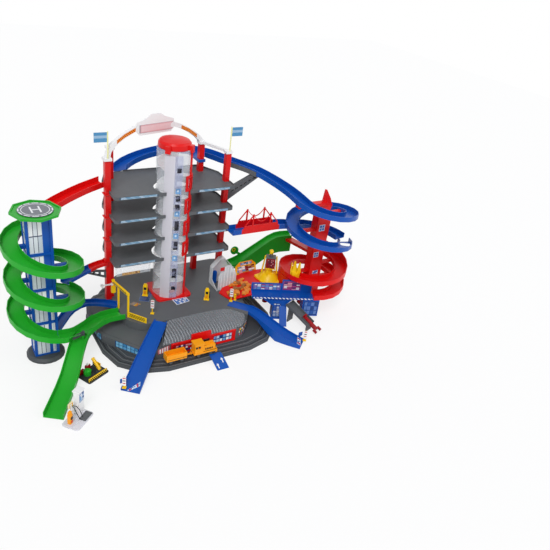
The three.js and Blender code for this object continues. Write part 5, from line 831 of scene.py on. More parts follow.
def flag_finish(name, pole_x):
    material = plastic(name, (0.10, 0.30, 0.52), gloss=0.3)
    tree = material.node_tree
    point = spot_on(tree)
    off_pole = calc(tree, "ABSOLUTE", calc(tree, "SUBTRACT", point["X"], pole_x))
    off_band = calc(tree, "ABSOLUTE", calc(tree, "SUBTRACT", point["Z"], BAND_HEIGHT))
    near = calc(tree, "LESS_THAN", off_pole, POLE_HALF)
    band = calc(tree, "LESS_THAN", off_band, BAND_HALF)
    share = calc(tree, "MULTIPLY", band, BAND_SHARE)
    cloth = mixed(tree, share, (0.08, 0.27, 0.50, 1), (0.42, 0.58, 0.74, 1))
    recolour(tree, mixed(tree, near, cloth, (0.86, 0.84, 0.40, 1)))
    return material


flag_poles = {
    "flag_left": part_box("flag_left")[1].x - POLE_INSET,
    "flag_right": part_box("flag_right")[0].x + POLE_INSET,
}
for flag, pole in flag_poles.items():
    skins[flag].data.materials[0] = flag_finish(flag + "_plastic", pole)
print("flags ready")

# %% [markdown]
# The front of the tunnel has a red board with printed shop fronts and a dark doorway, and the
# grey wall on both sides of it is covered with little signs and rows of blue windows. A flat
# wall needs a film of a single face. The round corner and the long walls get films of several
# faces, which can follow a bend.

# %% Shop fronts
SHOP_INKS, OFFICE_INKS = [PINK, SIGNAL, NAVY, WHITE, DEEP_RED], [WHITE, SKY, PALE, NAVY]
DOOR_INKS, AWNING_INKS = [(0.01, 0.01, 0.012)], [(0.55, 0.02, 0.04)]
shop_look = print_look(
    "shop_print", (0.20, 0.01, 0.03), SHOP_INKS, (9, 3), (0.08, 0.16), 0, 0.04, DEEP_RED
)
door_look = print_look(
    "doorway_print", (0.02, 0.02, 0.025), DOOR_INKS, (2, 1), (0.04, 0.04), 0, 0.05, (0.10, 0.02, 0.03)
)
office_look = print_look(
    "office_print", (0.03, 0.05, 0.18), OFFICE_INKS, (6, 2), (0.1, 0.14), 0, 0.05, (0.55, 0.02, 0.03)
)
awning_look = print_look(
    "awning_print", (0.86, 0.84, 0.86), AWNING_INKS, (5, 1), (0.32, -0.1), 0, 0.05, (0.40, 0.03, 0.05)
)
GLASS_INKS = [(0.12, 0.38, 0.66), (0.20, 0.50, 0.75), (0.06, 0.26, 0.52)]
glass_look = print_look(
    "blue_window_print", (0.02, 0.08, 0.25), GLASS_INKS, (6, 2), (0.08, 0.06), 0, 0.04, NAVY
)
SIGN_INKS = [AMBER, SIGNAL, WHITE, SKY, BLACK]
signs_look = print_look("small_signs_print", (0.10, 0.10, 0.11), SIGN_INKS, (7, 3), (0.1, 0.14), seed=4)
front_labels = [
    ("shop_label", shop_look, "fascia_panel", (-104, -26, 22, 50, -301), "red"),
    ("doorway_label", door_look, "fascia_panel", (-14, 30, 17, 48, -304), "dark_grey"),
    ("office_label", office_look, "fascia_panel", (44, 122, 22, 52, -301), "blue"),
    ("awning_label", awning_look, "road_block", (-158, -116, 28, 56, -297), "red"),
]
for name, look, host, wall, slot in front_labels:
    labels(name, look, [(host, *wall_y(*wall))])
corner_films = [
    ("road_block", upright((150, -297, 24, 58), (171, -290, 24, 58)), (-0.32, 0.95, 0), (3, 1)),
    ("road_block", upright((171, -290, 24, 58), (206, -254, 24, 58)), (-0.73, 0.69, 0), (5, 1)),
]
labels("small_signs", signs_look, corner_films)
glass_films = [
    ("road_block", upright((-263, -188, 20, 44), (-214, -268, 20, 44)), (0.81, 0.59, 0), (8, 1)),
    ("road_block", upright((-306, -85, 20, 56), (-306, -145, 20, 56)), (1, 0, 0), (4, 1)),
]
labels("ledge_windows", glass_look, glass_films)
print("labels on the tunnel front:", len(front_labels) + 2)

# %% [markdown]
# The road on top has a blue and white printed sign in front of the lift, a dark blue patch at
# its left and a small orange patch by the gantry. Each is a film whose corners drop straight down
# on the road, so it lies flat wherever the road's top is.

# %% Road prints
ROAD_LEVEL = 75
# The dark blue patch left of the lift darkens the road there with dark navy inks.
BLUE_PATCH_INKS = [(0.02, 0.05, 0.15), (0.04, 0.08, 0.22)]
ROAD_INKS = [WHITE, (0.10, 0.22, 0.55), WHITE]
road_look = print_look(
    "road_sign_print", (0.05, 0.16, 0.45), ROAD_INKS, (7, 4), (0.08, 0.18), 0, 0.05, WHITE
)
blue_patch_look = print_look(
    "road_blue_patch_print", (0.03, 0.06, 0.16), BLUE_PATCH_INKS, (3, 2), (0.04, 0.04), 0, 0.03, (0.12, 0.2, 0.4)
)
patch_look = print_look(
    "road_patch_print", (0.30, 0.14, 0.03), [ORANGE, AMBER, STONE], (5, 3), (0.1, 0.2), 0.6, seed=2
)
road_labels = [
    ("road_sign", road_look, ((-9, -106), (45, -98), (43, -62), (-13, -62)), "blue"),
    ("road_blue_patch", blue_patch_look, ((-128, -34), (-96, -52), (-62, 2), (-100, 16)), "blue"),
    ("road_patch", patch_look, ((-168, -44), (-150, -66), (-128, -56), (-146, -34)), "orange"),
]
for name, look, corners, slot in road_labels:
    labels(name, look, [("road_block", [(x, y, ROAD_LEVEL) for x, y in corners], DOWN)])
print("prints on the road:", len(road_labels))

# %% [markdown]
# The lift's guide is one moulding, but its left half is frosted white and its right half, with
# the windows, is nearly clear. A mask on X splits the two, and drives both the colour and the
# alpha.

# %% Frosted guide
GUIDE_SPLIT, GUIDE_BLUR = -0.022, 0.002
FROSTED_ALPHA, CLEAR_ALPHA = 0.62, 0.28


def guide_finish():
    material = see_through("frosted_guide", (0.72, 0.70, 0.78), 0.8, gloss=0.15)
    tree = material.node_tree
    right = step_at(tree, spot_on(tree)["X"], GUIDE_SPLIT, GUIDE_BLUR)
    recolour(tree, mixed(tree, right, (0.78, 0.76, 0.83, 1), (0.50, 0.54, 0.78, 1)))
    alpha = calc(tree, "MULTIPLY_ADD", right, CLEAR_ALPHA - FROSTED_ALPHA, FROSTED_ALPHA)
    tree.links.new(alpha, tree.nodes["Principled BSDF"].inputs["Alpha"])
    return material


skins["lift_guide"].data.materials[0] = guide_finish()
print("guide frosted")

# %% [markdown]
# Yellow pumps, sign posts and a hydrant stand on the road and at the feet of the ramps. Each is
# a few bevelled boxes and tubes, turned a little to the left, with a printed front. What occurs
# more than once comes from one function, and a table gives the places.

# %% Pumps and posts
finish["black"] = plastic("black_plastic", (0.012, 0.012, 0.014), gloss=0.3)
finish["ink_red"] = plastic("red_print", SIGNAL, gloss=0.3)
ROAD_TOP, FACING = 75.2, -30
YELLOW, INK_BLACK, INK_RED, INK_WHITE = range(4)
fitting_plastics = [finish[key] for key in ("yellow", "black", "ink_red", "white")]


def ahead_of(turn):
    return Vector((math.sin(math.radians(turn)), -math.cos(math.radians(turn)), 0))


def beside(turn):
    return Vector((math.cos(math.radians(turn)), math.sin(math.radians(turn)), 0))


def add_pump(work, x, y):
    foot = Vector((x, y, ROAD_TOP))
    add_box(work, foot + raised(2), (21, 17, 4), YELLOW, FACING)
    add_box(work, foot + raised(23), (16, 12, 42), YELLOW, FACING, 1.6)
    add_box(work, foot + raised(46), (12, 9, 8), YELLOW, FACING, 2.5)
    face = foot + ahead_of(FACING) * 5.9
    add_box(work, face + raised(32), (10, 1.2, 11), INK_BLACK, FACING, 0.2)
    for z in (10, 15, 20):
        add_box(work, face + raised(z), (10, 1.2, 2.2), INK_RED, FACING, 0.2)
    side = foot + beside(FACING) * 9.5
    add_tube(work, side + raised(6), side + raised(34), 1.2, INK_BLACK, 8)


def add_post(work, x, y, low, tall):
    wide, high = 12, 34
    foot, front = Vector((x, y, low)), ahead_of(FACING) * 1.9
    add_box(work, foot + raised(1.5), (13, 11, 3), YELLOW, FACING)
    add_tube(work, foot + raised(2), foot + raised(tall), 1.8, YELLOW, 10)
    board = foot + front + raised(tall - high / 2)
    add_box(work, board, (wide, 1.6, high), INK_WHITE, FACING, 0.4)
    for i in range(3):
        stripe = foot + front * 1.5 + raised(tall - 4 - i * (high - 4) / 3)
        add_box(work, stripe, (wide - 3, 1.2, 2.6), (INK_RED, INK_BLACK)[i % 2], FACING, 0.2)


fittings = [
    ("pump_left", add_pump, (-93, -6)),
    ("pump_right", add_pump, (109, -109)),
    ("sign_post_left", add_post, (-113, -128, ROAD_TOP, 58)),
    ("sign_post_right", add_post, (190, -152, ROAD_TOP, 56)),
    ("sign_post_arrow", add_post, (-305, -388, 6, 44)),
    ("sign_post_end", add_post, (377, -396, 10, 44)),
]
for name, add_fitting, values in fittings:
    work = bmesh.new()
    add_fitting(work, *values)
    finish_piece(name, work, fitting_plastics)
work = bmesh.new()
add_tube(work, (208, -150, ROAD_TOP), (208, -150, ROAD_TOP + 5), 6)
add_tube(work, (208, -150, ROAD_TOP + 4), (206, -151, ROAD_TOP + 22), 3.2, YELLOW, 12, 2.4)
add_ball(work, (206, -151, ROAD_TOP + 25), 4.2)
add_tube(work, (201, -155, ROAD_TOP + 17), (211, -147, ROAD_TOP + 17), 1.8, YELLOW, 10)
finish_piece("hydrant", work, fitting_plastics)
print("pumps, posts and a hydrant:", len(fittings) + 1)

# %% [markdown]
# Two yellow parts that warn have black slanted bars: the fence of the landing and the beam of
# the gantry. The same printed cells make them, with a slant.

# %% Warning bars
fence_look = print_look("warning_bars", BLACK, [AMBER], (9, 1), (0.24, -0.1), 1.4, 0.05, AMBER)
beam_look = print_look("short_warning_bars", AMBER, [BLACK], (7, 1), BARS, 1.0)
fence = upright((-197, -121, 79, 95), (-155, -175, 79, 95))
beam = upright((-220, -26, 164, 172), (-202, -112, 164, 172))
labels("fence_bars", fence_look, [("gantry", fence, (0.8, 0.61, 0))])
labels("beam_bars", beam_look, [("gantry", beam, (0.98, 0.2, 0))])
print("warning bars on the gantry")

# %% [markdown]
# The yellow tower on the red square has a dark red cabin between its legs, with rows of small
# windows, a grey roof and two thin stays. The cabin's walls are flat, so its windows are plain
# films made from their corners, without a ray.

# %% Tower cabin
TOWER = Vector((379, -104, 0))
WINDOW_WALLS = ((FACING, 15.1, 13), (FACING + 90, 17.1, 11), (FACING - 90, 17.1, 11))
CABIN_INKS = [(0.03, 0.01, 0.02), DEEP_RED, (0.5, 0.2, 0.2)]
cabin_look = print_look(
    "cabin_window_print", (0.16, 0.006, 0.014), CABIN_INKS, (4, 5), (0.16, 0.2), 0, 0.06, DEEP_RED
)


def flat_films(name, look, quads, thick=0.5):
    work = bmesh.new()
    layer = work.loops.layers.uv.new("UVMap")
    for *corners, out in quads:
        proud = Vector(out).normalized() * thick
        front = [work.verts.new((Vector(p) + proud) * MM) for p in corners]
        back = [work.verts.new(Vector(p) * MM) for p in corners]
        made = [work.faces.new(front), work.faces.new(back[::-1])]
        made += [work.faces.new([front[i], back[i], back[i - 3], front[i - 3]]) for i in range(4)]
        bmesh.ops.recalc_face_normals(work, faces=made)
        for face in made:
            for loop in face.loops:
                corner = (front if loop.vert in front else back).index(loop.vert)
                loop[layer].uv = ((0, 0), (1, 0), (1, 1), (0, 1))[corner]
    return finish_piece(name, work, [look])


def panel(start, wide, tall, out):
    return start, start + wide, start + wide + tall, start + tall, out


work = bmesh.new()
add_box(work, TOWER + raised(187), (34, 30, 44), 0, FACING, 1.5)
add_box(work, TOWER + raised(210.5), (38, 34, 3), 1, FACING, 1)
add_tube(work, TOWER + raised(211), TOWER + raised(221), 10, 2, 16, 6)
add_box(work, TOWER + raised(163.5), (38, 34, 3), 3, FACING, 1)
for along in (-beside(FACING), beside(FACING)):
    foot, top = TOWER + along * 30 + raised(138), TOWER + along * 22 + raised(214)
    add_tube(work, foot, top, 3.6, 3, 8, 2.6)
cabin_plastics = [finish[key] for key in ("dark_red", "grey", "dark_grey", "yellow")]
finish_piece("tower_cabin", work, cabin_plastics)
cabin_walls = []
for turn, away, half in WINDOW_WALLS:
    start = TOWER + ahead_of(turn) * away - beside(turn) * half + raised(169)
    cabin_walls.append(panel(start, beside(turn) * half * 2, raised(36), ahead_of(turn)))
flat_films("cabin_windows", cabin_look, cabin_walls, thick=0.9)
print("tower cabin with", len(cabin_walls), "window walls")

# %% [markdown]
# The blue platform on the right stands turned by about 23 degrees. Its lip has a row of white
# dots, its back boards have printed shop fronts, and the stair and the crate below have printed
# steps and panels. All of them are placed in the platform's own directions.

# %% Labels of the platform
PLATFORM, PLATFORM_TURN = (260, -190), -23.2


def local(x, y, z, origin, turn):
    c, s = math.cos(math.radians(turn)), math.sin(math.radians(turn))
    return Vector((origin[0] + x * c - y * s, origin[1] + x * s + y * c, z))


def platform_film(x0, x1, z0, z1, y=0.0, counts=(1, 1)):
    spots = ((x0, z0), (x1, z0), (x1, z1), (x0, z1))
    corners = [local(x, y, z, PLATFORM, PLATFORM_TURN) for x, z in spots]
    return ("blue_platform", corners, -ahead_of(PLATFORM_TURN), counts)


BOARD_INKS = [WHITE, (0.28, 0.22, 0.50), SKY, (0.45, 0.05, 0.12)]
HIGH_BOARD_INKS = [PINK, WHITE, (0.40, 0.06, 0.20), NAVY]
CRATE_INKS = [(0.02, 0.09, 0.36), (0.10, 0.2, 0.5), (0.012, 0.05, 0.2)]
dots_look = print_look("lip_dots_print", (0.02, 0.06, 0.30), [WHITE], (16, 1), (0.24, 0.2), 0.7)
board_look = print_look(
    "board_print", (0.10, 0.07, 0.26), BOARD_INKS, (7, 4), (0.08, 0.12), 0, 0.05, (0.16, 0.10, 0.30)
)
high_board_look = print_look(
    "high_board_print", (0.30, 0.03, 0.12), HIGH_BOARD_INKS, (4, 6), (0.03, 0.16), 0, 0.06, (0.24, 0.05, 0.22)
)
stair_look = print_look(
    "stair_print", (0.02, 0.07, 0.32), [WHITE, PALE, (0.05, 0.12, 0.40)], (2, 9), (0.1, 0.2), 0.3, 0.03, NAVY
)
crate_look = print_look("crate_print", (0.012, 0.06, 0.28), CRATE_INKS, (4, 3), (0.06, 0.08), 0, 0.05, NAVY)
platform_labels = [
    ("lip_dots", dots_look, platform_film(4, 233, 95.6, 104.4), "blue"),
    ("platform_board", board_look, platform_film(6, 114, 107, 131, 50, (2, 1)), "blue"),
    ("platform_high_board", high_board_look, platform_film(122, 192, 108, 148, 50, (2, 1)), "red"),
    ("stair_label", stair_look, platform_film(88, 116, 12, 72, 7), "blue"),
    ("crate_label", crate_look, platform_film(204, 260, 28, 88, 3), "blue"),
]
for name, look, film, slot in platform_labels:
    labels(name, look, [film])
print("platform labels:", len(platform_labels))

# %% [markdown]
# The red column on the right has two blue window stickers on its front, and a darker one lower
# down. They are films on a flat wall.

# %% Stickers of the right column
PANE_INKS = [(0.03, 0.10, 0.42), (0.06, 0.16, 0.50)]
LOW_INKS = [(0.55, 0.62, 0.75), (0.08, 0.12, 0.40)]
pane_look = print_look(
    "column_sticker_print", (0.55, 0.62, 0.74), PANE_INKS, (2, 2), (0.1, 0.1), 0, 0.1, (0.62, 0.70, 0.80)
)
low_look = print_look(
    "round_sticker_print", (0.10, 0.16, 0.45), LOW_INKS, (3, 2), (0.06, 0.08), 0.2, 0.08, (0.45, 0.52, 0.70)
)
COLUMN_WALL = -187
panes = [(522, 548, 339, 366), (518, 542, 226, 249)]
pane_films = [("right_column", *wall_y(*pane, COLUMN_WALL)) for pane in panes]
low_film = ("right_column", *wall_y(528, 554, 150, 165, COLUMN_WALL))
labels("column_stickers", pane_look, pane_films)
labels("column_low_sticker", low_look, [low_film])
print("stickers on the right column: 3")

# %% [markdown]
# The filling station is a small set of its own: a frosted tray, a tall white tower with a blue
# label, an orange pump with two black hoses, and a cream sign. It replaces the plain solid and
# stands in the same place. Its pieces are listed in the set's own directions, from its middle.

# %% Filling station
STATION, STATION_TURN = (-469, -462), 40.7
TRAY_LIFT = 0.1
finish["frost"] = see_through("frosted_tray", (0.80, 0.80, 0.86), 0.75, gloss=0.2)
finish["cream"] = plastic("cream_plastic", (0.80, 0.68, 0.42), gloss=0.3)
CREAM_INKS = [AMBER, WHITE, ORANGE]
station_look = print_look(
    "station_print", (0.16, 0.30, 0.55), OFFICE_INKS, (3, 4), (0.06, 0.12), 0.2, 0.06, (0.10, 0.2, 0.42)
)
cream_look = print_look(
    "cream_sign_print", (0.75, 0.55, 0.22), CREAM_INKS, (3, 2), (0.08, 0.16), 0, 0.08, (0.70, 0.45, 0.12)
)


def round_outline(wide, deep, corner, steps=5):
    points = []
    for right, back, start in ((1, 1, 0), (-1, 1, 90), (-1, -1, 180), (1, -1, 270)):
        x, y = right * (wide / 2 - corner), back * (deep / 2 - corner)
        for k in range(steps + 1):
            a = math.radians(start + 90 * k / steps)
            points.append((x + corner * math.cos(a), y + corner * math.sin(a)))
    return points


def tray_plate(work, wide, deep, corner, origin, turn, height, index):
    origin = (origin[0], origin[1], TRAY_LIFT)
    add_plate(work, round_outline(wide, deep, corner), origin, beside(turn), -ahead_of(turn), height, index)


def add_hose(work, points, radius, index):
    for a, b in zip(points, points[1:]):
        add_tube(work, a, b, radius, index, 8)
    for point in points[1:-1]:
        add_ball(work, point, radius, index)


def spot(x, y, z):
    return local(x, y, z, STATION, STATION_TURN)


FROST, TOWER_WHITE, PUMP, CREAM, INK, HOSE, KERB = range(7)
station_boxes = [
    ((26, 13, 44), (24, 20, 84), TOWER_WHITE, 2),
    ((26, 13, 87), (28, 24, 4), TOWER_WHITE, 1.2),
    ((6, 20, 24), (5, 5, 44), TOWER_WHITE, 1),
    ((-26, 8, 22), (13, 11, 36), PUMP, 2.4),
    ((-26, 8, 44), (11, 9, 10), PUMP, 2),
    ((-26, 2, 26), (8, 1.6, 9), HOSE, 0.3),
    ((-26, 2, 14), (8, 1.6, 5), INK, 0.3),
    ((-10, 16, 58), (20, 5, 16), CREAM, 1.2),
    ((18, -14, 4.6), (38, 22, 3), KERB, 1),
]
hoses = [
    [(-3, 16, 50), (2, 4, 47), (4, -4, 36), (6, -8, 22), (8, -10, 8)],
    [(-3, 16, 50), (-8, 4, 46), (-10, -4, 34), (-8, -9, 18), (-3, -12, 8)],
]
work = bmesh.new()
tray_plate(work, 84, 57, 10, STATION, STATION_TURN, 3.2, FROST)
tray_plate(work, 40, 26, 5, spot(-22, 8, 0), STATION_TURN, 5.5, FROST)
for centre, size, index, bevel in station_boxes:
    add_box(work, spot(*centre), size, index, STATION_TURN, bevel)
add_tube(work, spot(-10, 16, 4), spot(-10, 16, 52), 2, TOWER_WHITE, 10)
for hose in hoses:
    add_hose(work, [spot(*point) for point in hose], 1.1, HOSE)
set_looks = [finish[key] for key in ("frost", "white", "orange", "cream", "ink_red", "black", "grey")]
station_set = finish_piece("filling_station_set", work, set_looks)
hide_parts("filling_station")
along, out = beside(STATION_TURN), ahead_of(STATION_TURN)
tower_face = panel(spot(15, 2.9, 50), along * 22, raised(30), out)
sign_face = panel(spot(-18, 13.4, 52), along * 16, raised(12), out)
flat_films("station_label", station_look, [tower_face])
flat_films("station_sign", cream_look, [sign_face])
print("filling station on", len(set_looks), "plastics")

# %% [markdown]
# The building site is a dark plate with a striped yellow border, a green drum, a yellow auger
# over a grey base, a small chevron board and dark red blocks. It is listed like the station.

# %% Building site
SITE, SITE_TURN = (-372, -281), 27
finish["site_dark"] = plastic("site_plate_plastic", (0.028, 0.032, 0.034), gloss=0.4)
border_look = print_look("border_bars", AMBER, [BLACK], (11, 1), BARS, 0.8)
chevron_look = print_look("chevron_bars", BLACK, [AMBER], (3, 1), (0.22, -0.1), 1.6, 0.05, AMBER)


def yard(x, y, z):
    return local(x, y, z, SITE, SITE_TURN)


PLATE, SITE_YELLOW, DRUM, STEEL, BLOCK, CAP = range(6)
site_boxes = [
    ((0, -24, 9), (76, 3, 11), SITE_YELLOW, 0.6),
    ((2, 24, 13), (18, 9, 20), BLOCK, 1.2),
    ((-24, 24, 10), (20, 9, 14), BLOCK, 1.2),
    ((2, 24, 26), (8, 6, 6), CAP, 0.8),
    ((35, 12, 13), (2.4, 22, 16), SITE_YELLOW, 0.6),
]
site_tubes = [
    ((-14, 8, 3), (-14, 8, 19), 12, DRUM, 28, None),
    ((-14, 8, 18), (-14, 8, 23), 9, DRUM, 28, 6),
    ((20, -12, 3), (20, -12, 7), 12, STEEL, 24, None),
    ((20, -12, 6), (20, -12, 12), 6, STEEL, 20, None),
    ((24, 25, 38), (20, -12, 12), 4.5, SITE_YELLOW, 16, None),
    ((23, 21, 3), (23, 21, 34), 2.2, STEEL, 12, None),
]
work = bmesh.new()
tray_plate(work, 84, 62, 6, SITE, SITE_TURN, 3.6, PLATE)
for centre, size, index, bevel in site_boxes:
    add_box(work, yard(*centre), size, index, SITE_TURN, bevel)
for start, end, radius, index, sides, radius_end in site_tubes:
    add_tube(work, yard(*start), yard(*end), radius, index, sides, radius_end)
site_looks = [finish[key] for key in ("site_dark", "yellow", "green", "dark_grey", "dark_red", "white")]
site_set = finish_piece("building_site_set", work, site_looks)
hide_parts("building_site")
along, out = beside(SITE_TURN), ahead_of(SITE_TURN)
border = panel(yard(-37, -25.5, 4.5), along * 74, raised(9), out)
board = panel(yard(33.7, 22, 6), out * 20, raised(14), -along)
flat_films("site_border", border_look, [border])
flat_films("site_chevrons", chevron_look, [board])
print("building site on", len(site_looks), "plastics")

# %% [markdown]
# Ribs and rails follow a path, which is work for Geometry Nodes. A tree takes the path and its
# sizes as named inputs. One helper starts such a tree, one inks its result and closes it, and
# one runs it on a curve, turns the result into a plain mesh and hands that to its body.

# %% Starting and running Geometry Nodes trees
def start_tree(name, sizes):
    tree = bpy.data.node_groups.new(name, "GeometryNodeTree")
    face = tree.interface
    face.new_socket("Geometry", in_out="INPUT", socket_type="NodeSocketGeometry")
    for label in sizes:
        face.new_socket(label, in_out="INPUT", socket_type=VALUE)
    face.new_socket("Material", in_out="INPUT", socket_type="NodeSocketMaterial")
    face.new_socket("Geometry", in_out="OUTPUT", socket_type="NodeSocketGeometry")
    return tree, tree.nodes.new("NodeGroupInput").outputs


def ink_and_close(tree, geometry, given):
    real = place(tree, "GeometryNodeRealizeInstances", {"Geometry": geometry}).outputs[0]
    inked = place(tree, "GeometryNodeSetMaterial", {"Geometry": real, "Material": given["Material"]})
    place(tree, "NodeGroupOutput", {0: inked.outputs[0]})
    return tree


def course_curve(name, runs):
    data = bpy.data.curves.new(name, "CURVE")
    data.dimensions = "3D"
    data.twist_mode = "Z_UP"
    for points in runs:
        spline = data.splines.new("POLY")
        spline.points.add(len(points) - 1)
        for knot, point in zip(spline.points, points):
            knot.co = (*[v * MM for v in point], 1)
    return put_in_scene(name, data)


def run_tree(name, source, tree, values):
    modifier = source.modifiers.new("tree", "NODES")
    modifier.node_group = tree
    sockets = {item.name: item.identifier for item in tree.interface.items_tree if item.in_out == "INPUT"}
    for label, value in values.items():
        modifier[sockets[label]] = value
    bpy.context.view_layer.update()
    mesh = bpy.data.meshes.new_from_object(source.evaluated_get(bpy.context.evaluated_depsgraph_get()))
    bpy.data.objects.remove(source)
    mesh.name = name
    piece = put_in_scene(name, mesh)
    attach(piece, "garage")
    return piece


print("tree helpers ready")

# %% [markdown]
# The auger of the building site is ribbed along its axis. The ribs could be added one by one, but
# they repeat at one step, so a tree sets a thin disc at each step of a short path.

# %% Auger ribs
def rib_tree():
    tree, given = start_tree("ribs_on_path", ("Step", "Radius", "Thickness"))
    steps = {"Curve": given["Geometry"], "Length": given["Step"]}
    points = place(tree, "GeometryNodeCurveToPoints", steps, mode="LENGTH")
    disc = {"Vertices": 16, "Radius": given["Radius"], "Depth": given["Thickness"]}
    rib = place(tree, "GeometryNodeMeshCylinder", disc)
    spread = {"Points": points.outputs["Points"], "Rotation": points.outputs["Rotation"]}
    copies = place(tree, "GeometryNodeInstanceOnPoints", {"Instance": rib.outputs["Mesh"], **spread})
    return ink_and_close(tree, copies.outputs[0], given)


auger = course_curve("auger_path", [[yard(23.8, 23, 36.6), yard(20.2, -10, 13.4)]])
auger_sizes = {"Material": finish["yellow"], "Radius": 0.0066, "Step": 0.0048, "Thickness": 0.0016}
run_tree("auger_ribs", auger, rib_tree(), auger_sizes)
print("auger ribs set")

# %% [markdown]
# The car wash has frosted panels with seams that close its frame down to the road, and a red
# plate at the top of its left corner. The panels are thin plates cut to the frame's outline,
# which is given as shares of its width and height.

# %% Wash panels
PANEL_SHAPE = [(0, 0), (0, 0.58), (0.24, 0.9), (0.42, 0.985), (0.58, 0.985), (0.76, 0.9), (1, 0.58), (1, 0)]
SEAMS, PANEL_INSET = 5, 3.5
low, high = (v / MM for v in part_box("wash_housing"))
finish["wash_panel"] = see_through("wash_panel_plastic", (0.78, 0.84, 0.88), 0.55, gloss=0.18)
span, tall = high.x - low.x - 2 * PANEL_INSET, high.z - ROAD_TOP - 4
work = bmesh.new()
for y in (low.y + 3, high.y - 3):
    outline = [(x * span, z * tall) for x, z in reversed(PANEL_SHAPE)]
    add_plate(work, outline, (low.x + PANEL_INSET, y, ROAD_TOP + 0.4), (1, 0, 0), (0, 0, 1), 0.8)
for k in range(1, SEAMS + 1):
    x, y = low.x + PANEL_INSET + span * k / (SEAMS + 1), low.y + 2.4
    top = ROAD_TOP + tall * (0.7 if k in (1, SEAMS) else 0.9)
    add_tube(work, (x, y, ROAD_TOP + 1), (x, y, top), 0.9, 1, 8)
add_box(work, (low.x + 15, low.y - 1.2, high.z - 16), (17, 2, 15), 2, bevel=0.5)
finish_piece("wash_panels", work, [finish["wash_panel"], finish["white"], finish["ink_red"]])
print("wash panels span", round(span), "by", round(tall), "mm")

# %% [markdown]
# The left slope of the red square is covered with orange and brown rocks. They are uneven
# bevelled blocks from a seeded draw, each dropped on the slope with a ray, so that none floats.

# %% Rocks
ROCKS, EVERY_BROWN = 46, 3
draw = random.Random(7)
rock_plastics = [
    plastic("rock_brown", (0.34, 0.12, 0.03), gloss=0.45),
    plastic("rock_orange", (0.75, 0.24, 0.03), gloss=0.4),
]
work = bmesh.new()
placed = 0
for k in range(ROCKS):
    u, v = draw.random(), draw.random()
    x, y = 198 + 88 * u, -152 + 86 * v
    hit = surface_of("red_square").ray_cast(Vector((x, y, 300)) * MM, DOWN)[0]
    if hit is None:
        continue
    size = (12 + 9 * draw.random(), 9 + 7 * draw.random(), 5 + 6 * draw.random())
    centre = (x, y, hit.z / MM + size[2] / 2 - 1)
    add_box(work, centre, size, k % EVERY_BROWN != 0, draw.uniform(0, 90), 1.4)
    placed += 1
finish_piece("orange_rocks", work, rock_plastics)
print("rocks placed:", placed, "of", ROCKS)

# %% [markdown]
# Behind the rocks stands a slanted orange billboard on two grey stays. The board is one plate
# with cut corners, and a printed film lies on each of its two fields.

# %% Billboard
BOARD_WIDE, BOARD_TALL, BOARD_SHOULDER, BOARD_THICK = 98, 50, 34, 2.4
BILL_INKS = [PINK, WHITE, SKY, (0.5, 0.25, 0.05), DEEP_RED, WHITE]
billboard_look = print_look(
    "billboard_print", (0.42, 0.16, 0.20), BILL_INKS, (6, 4), (0.03, 0.06), 0.35, 0.05, AMBER, 3
)
base, lean = Vector((274, -26, 101)), Vector((0, 0.3, 1)).normalized()
along = Vector((1, 0.08, 0)).normalized()
out = along.cross(lean)
work = bmesh.new()
board_outline = [(0, 0), (BOARD_WIDE, 0), (BOARD_WIDE, BOARD_SHOULDER)]
board_outline += [(80, BOARD_TALL), (22, BOARD_TALL), (0, BOARD_SHOULDER)]
add_plate(work, board_outline, base, along, lean, BOARD_THICK)
for k in (12, 86):
    foot = base + along * k
    add_tube(work, foot + Vector((0, 9, -2)), foot + lean * 40, 2, 1, 8)
finish_piece("billboard", work, [finish["orange"], finish["grey"]])
board_front = base + out * BOARD_THICK
picture = panel(board_front + lean * 2.5 + along * 3, along * (BOARD_WIDE - 6), lean * 31, out)
heading = panel(board_front + lean * 35.5 + along * 22, along * 58, lean * 11, out)
flat_films("billboard_print_film", billboard_look, [picture])
flat_films("billboard_top_film", office_look, [heading])
print("billboard placed")

# %% [markdown]
# The engine and the wagon are moulded in orange. The engine gets black window panes, vents and
# a stripe, and a grille between two lamps. The wagon gets four raised fields and a black stripe,
# and each pair of wheels a hub with six bolts. A piece rides on one body, so the engine, the
# wagon and each pair of wheels have a mesh of their own.

# %% Train details
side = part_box("loco")[0].y / MM + 2.2
work = bmesh.new()
for x in (-41, -31):
    add_box(work, (x, side - 0.6, 59), (7, 1.2, 7), bevel=0.5)
for k in range(5):
    add_box(work, (-6 + k * 6, side + 1.6, 46), (3.4, 1.2, 7), bevel=0.3)
add_box(work, (0, side + 1.4, 36.5), (70, 1.2, 1.8), bevel=0.3)
for y in (-346, -326):
    add_tube(work, (35.4, y, 43), (37.6, y, 43), 3, 1, 16)
    add_ball(work, (37.2, y, 43), 2.2, 2)
add_box(work, (36.2, -336, 47), (1.6, 12, 9), bevel=0.4)
for k in range(3):
    add_box(work, (37, -336, 44.5 + k * 2.6), (1.2, 10, 0.9), 1, bevel=0.2)
engine_plastics = [finish["black"], finish["grey"], finish["white"]]
finish_piece("engine_details", work, engine_plastics, body="loco")
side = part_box("wagon")[0].y / MM - 0.2
work = bmesh.new()
for k in range(4):
    add_box(work, (-135 + k * 17, side, 43), (11, 1.2, 6), bevel=0.4)
add_box(work, (-109, side, 36.5), (70, 1, 1.4), 1, bevel=0.2)
finish_piece("wagon_details", work, [finish["orange"], finish["black"]], body="wagon")
for body in ("loco_wheels_front", "loco_wheels_back", "wagon_wheels_front", "wagon_wheels_back"):
    low, high = (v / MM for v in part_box(body))
    centre = (low + high) / 2
    work = bmesh.new()
    add_tube(work, (centre.x, low.y - 0.6, centre.z), (centre.x, low.y + 1, centre.z), 3.4, 0, 16)
    for k in range(6):
        a = k * math.pi / 3
        bolt = (centre.x + 5 * math.cos(a), low.y - 0.1, centre.z + 5 * math.sin(a))
        add_box(work, bolt, (1.4, 0.7, 1.4), bevel=0.2)
    finish_piece(body + "_hub", work, [finish["grey"]], body=body)
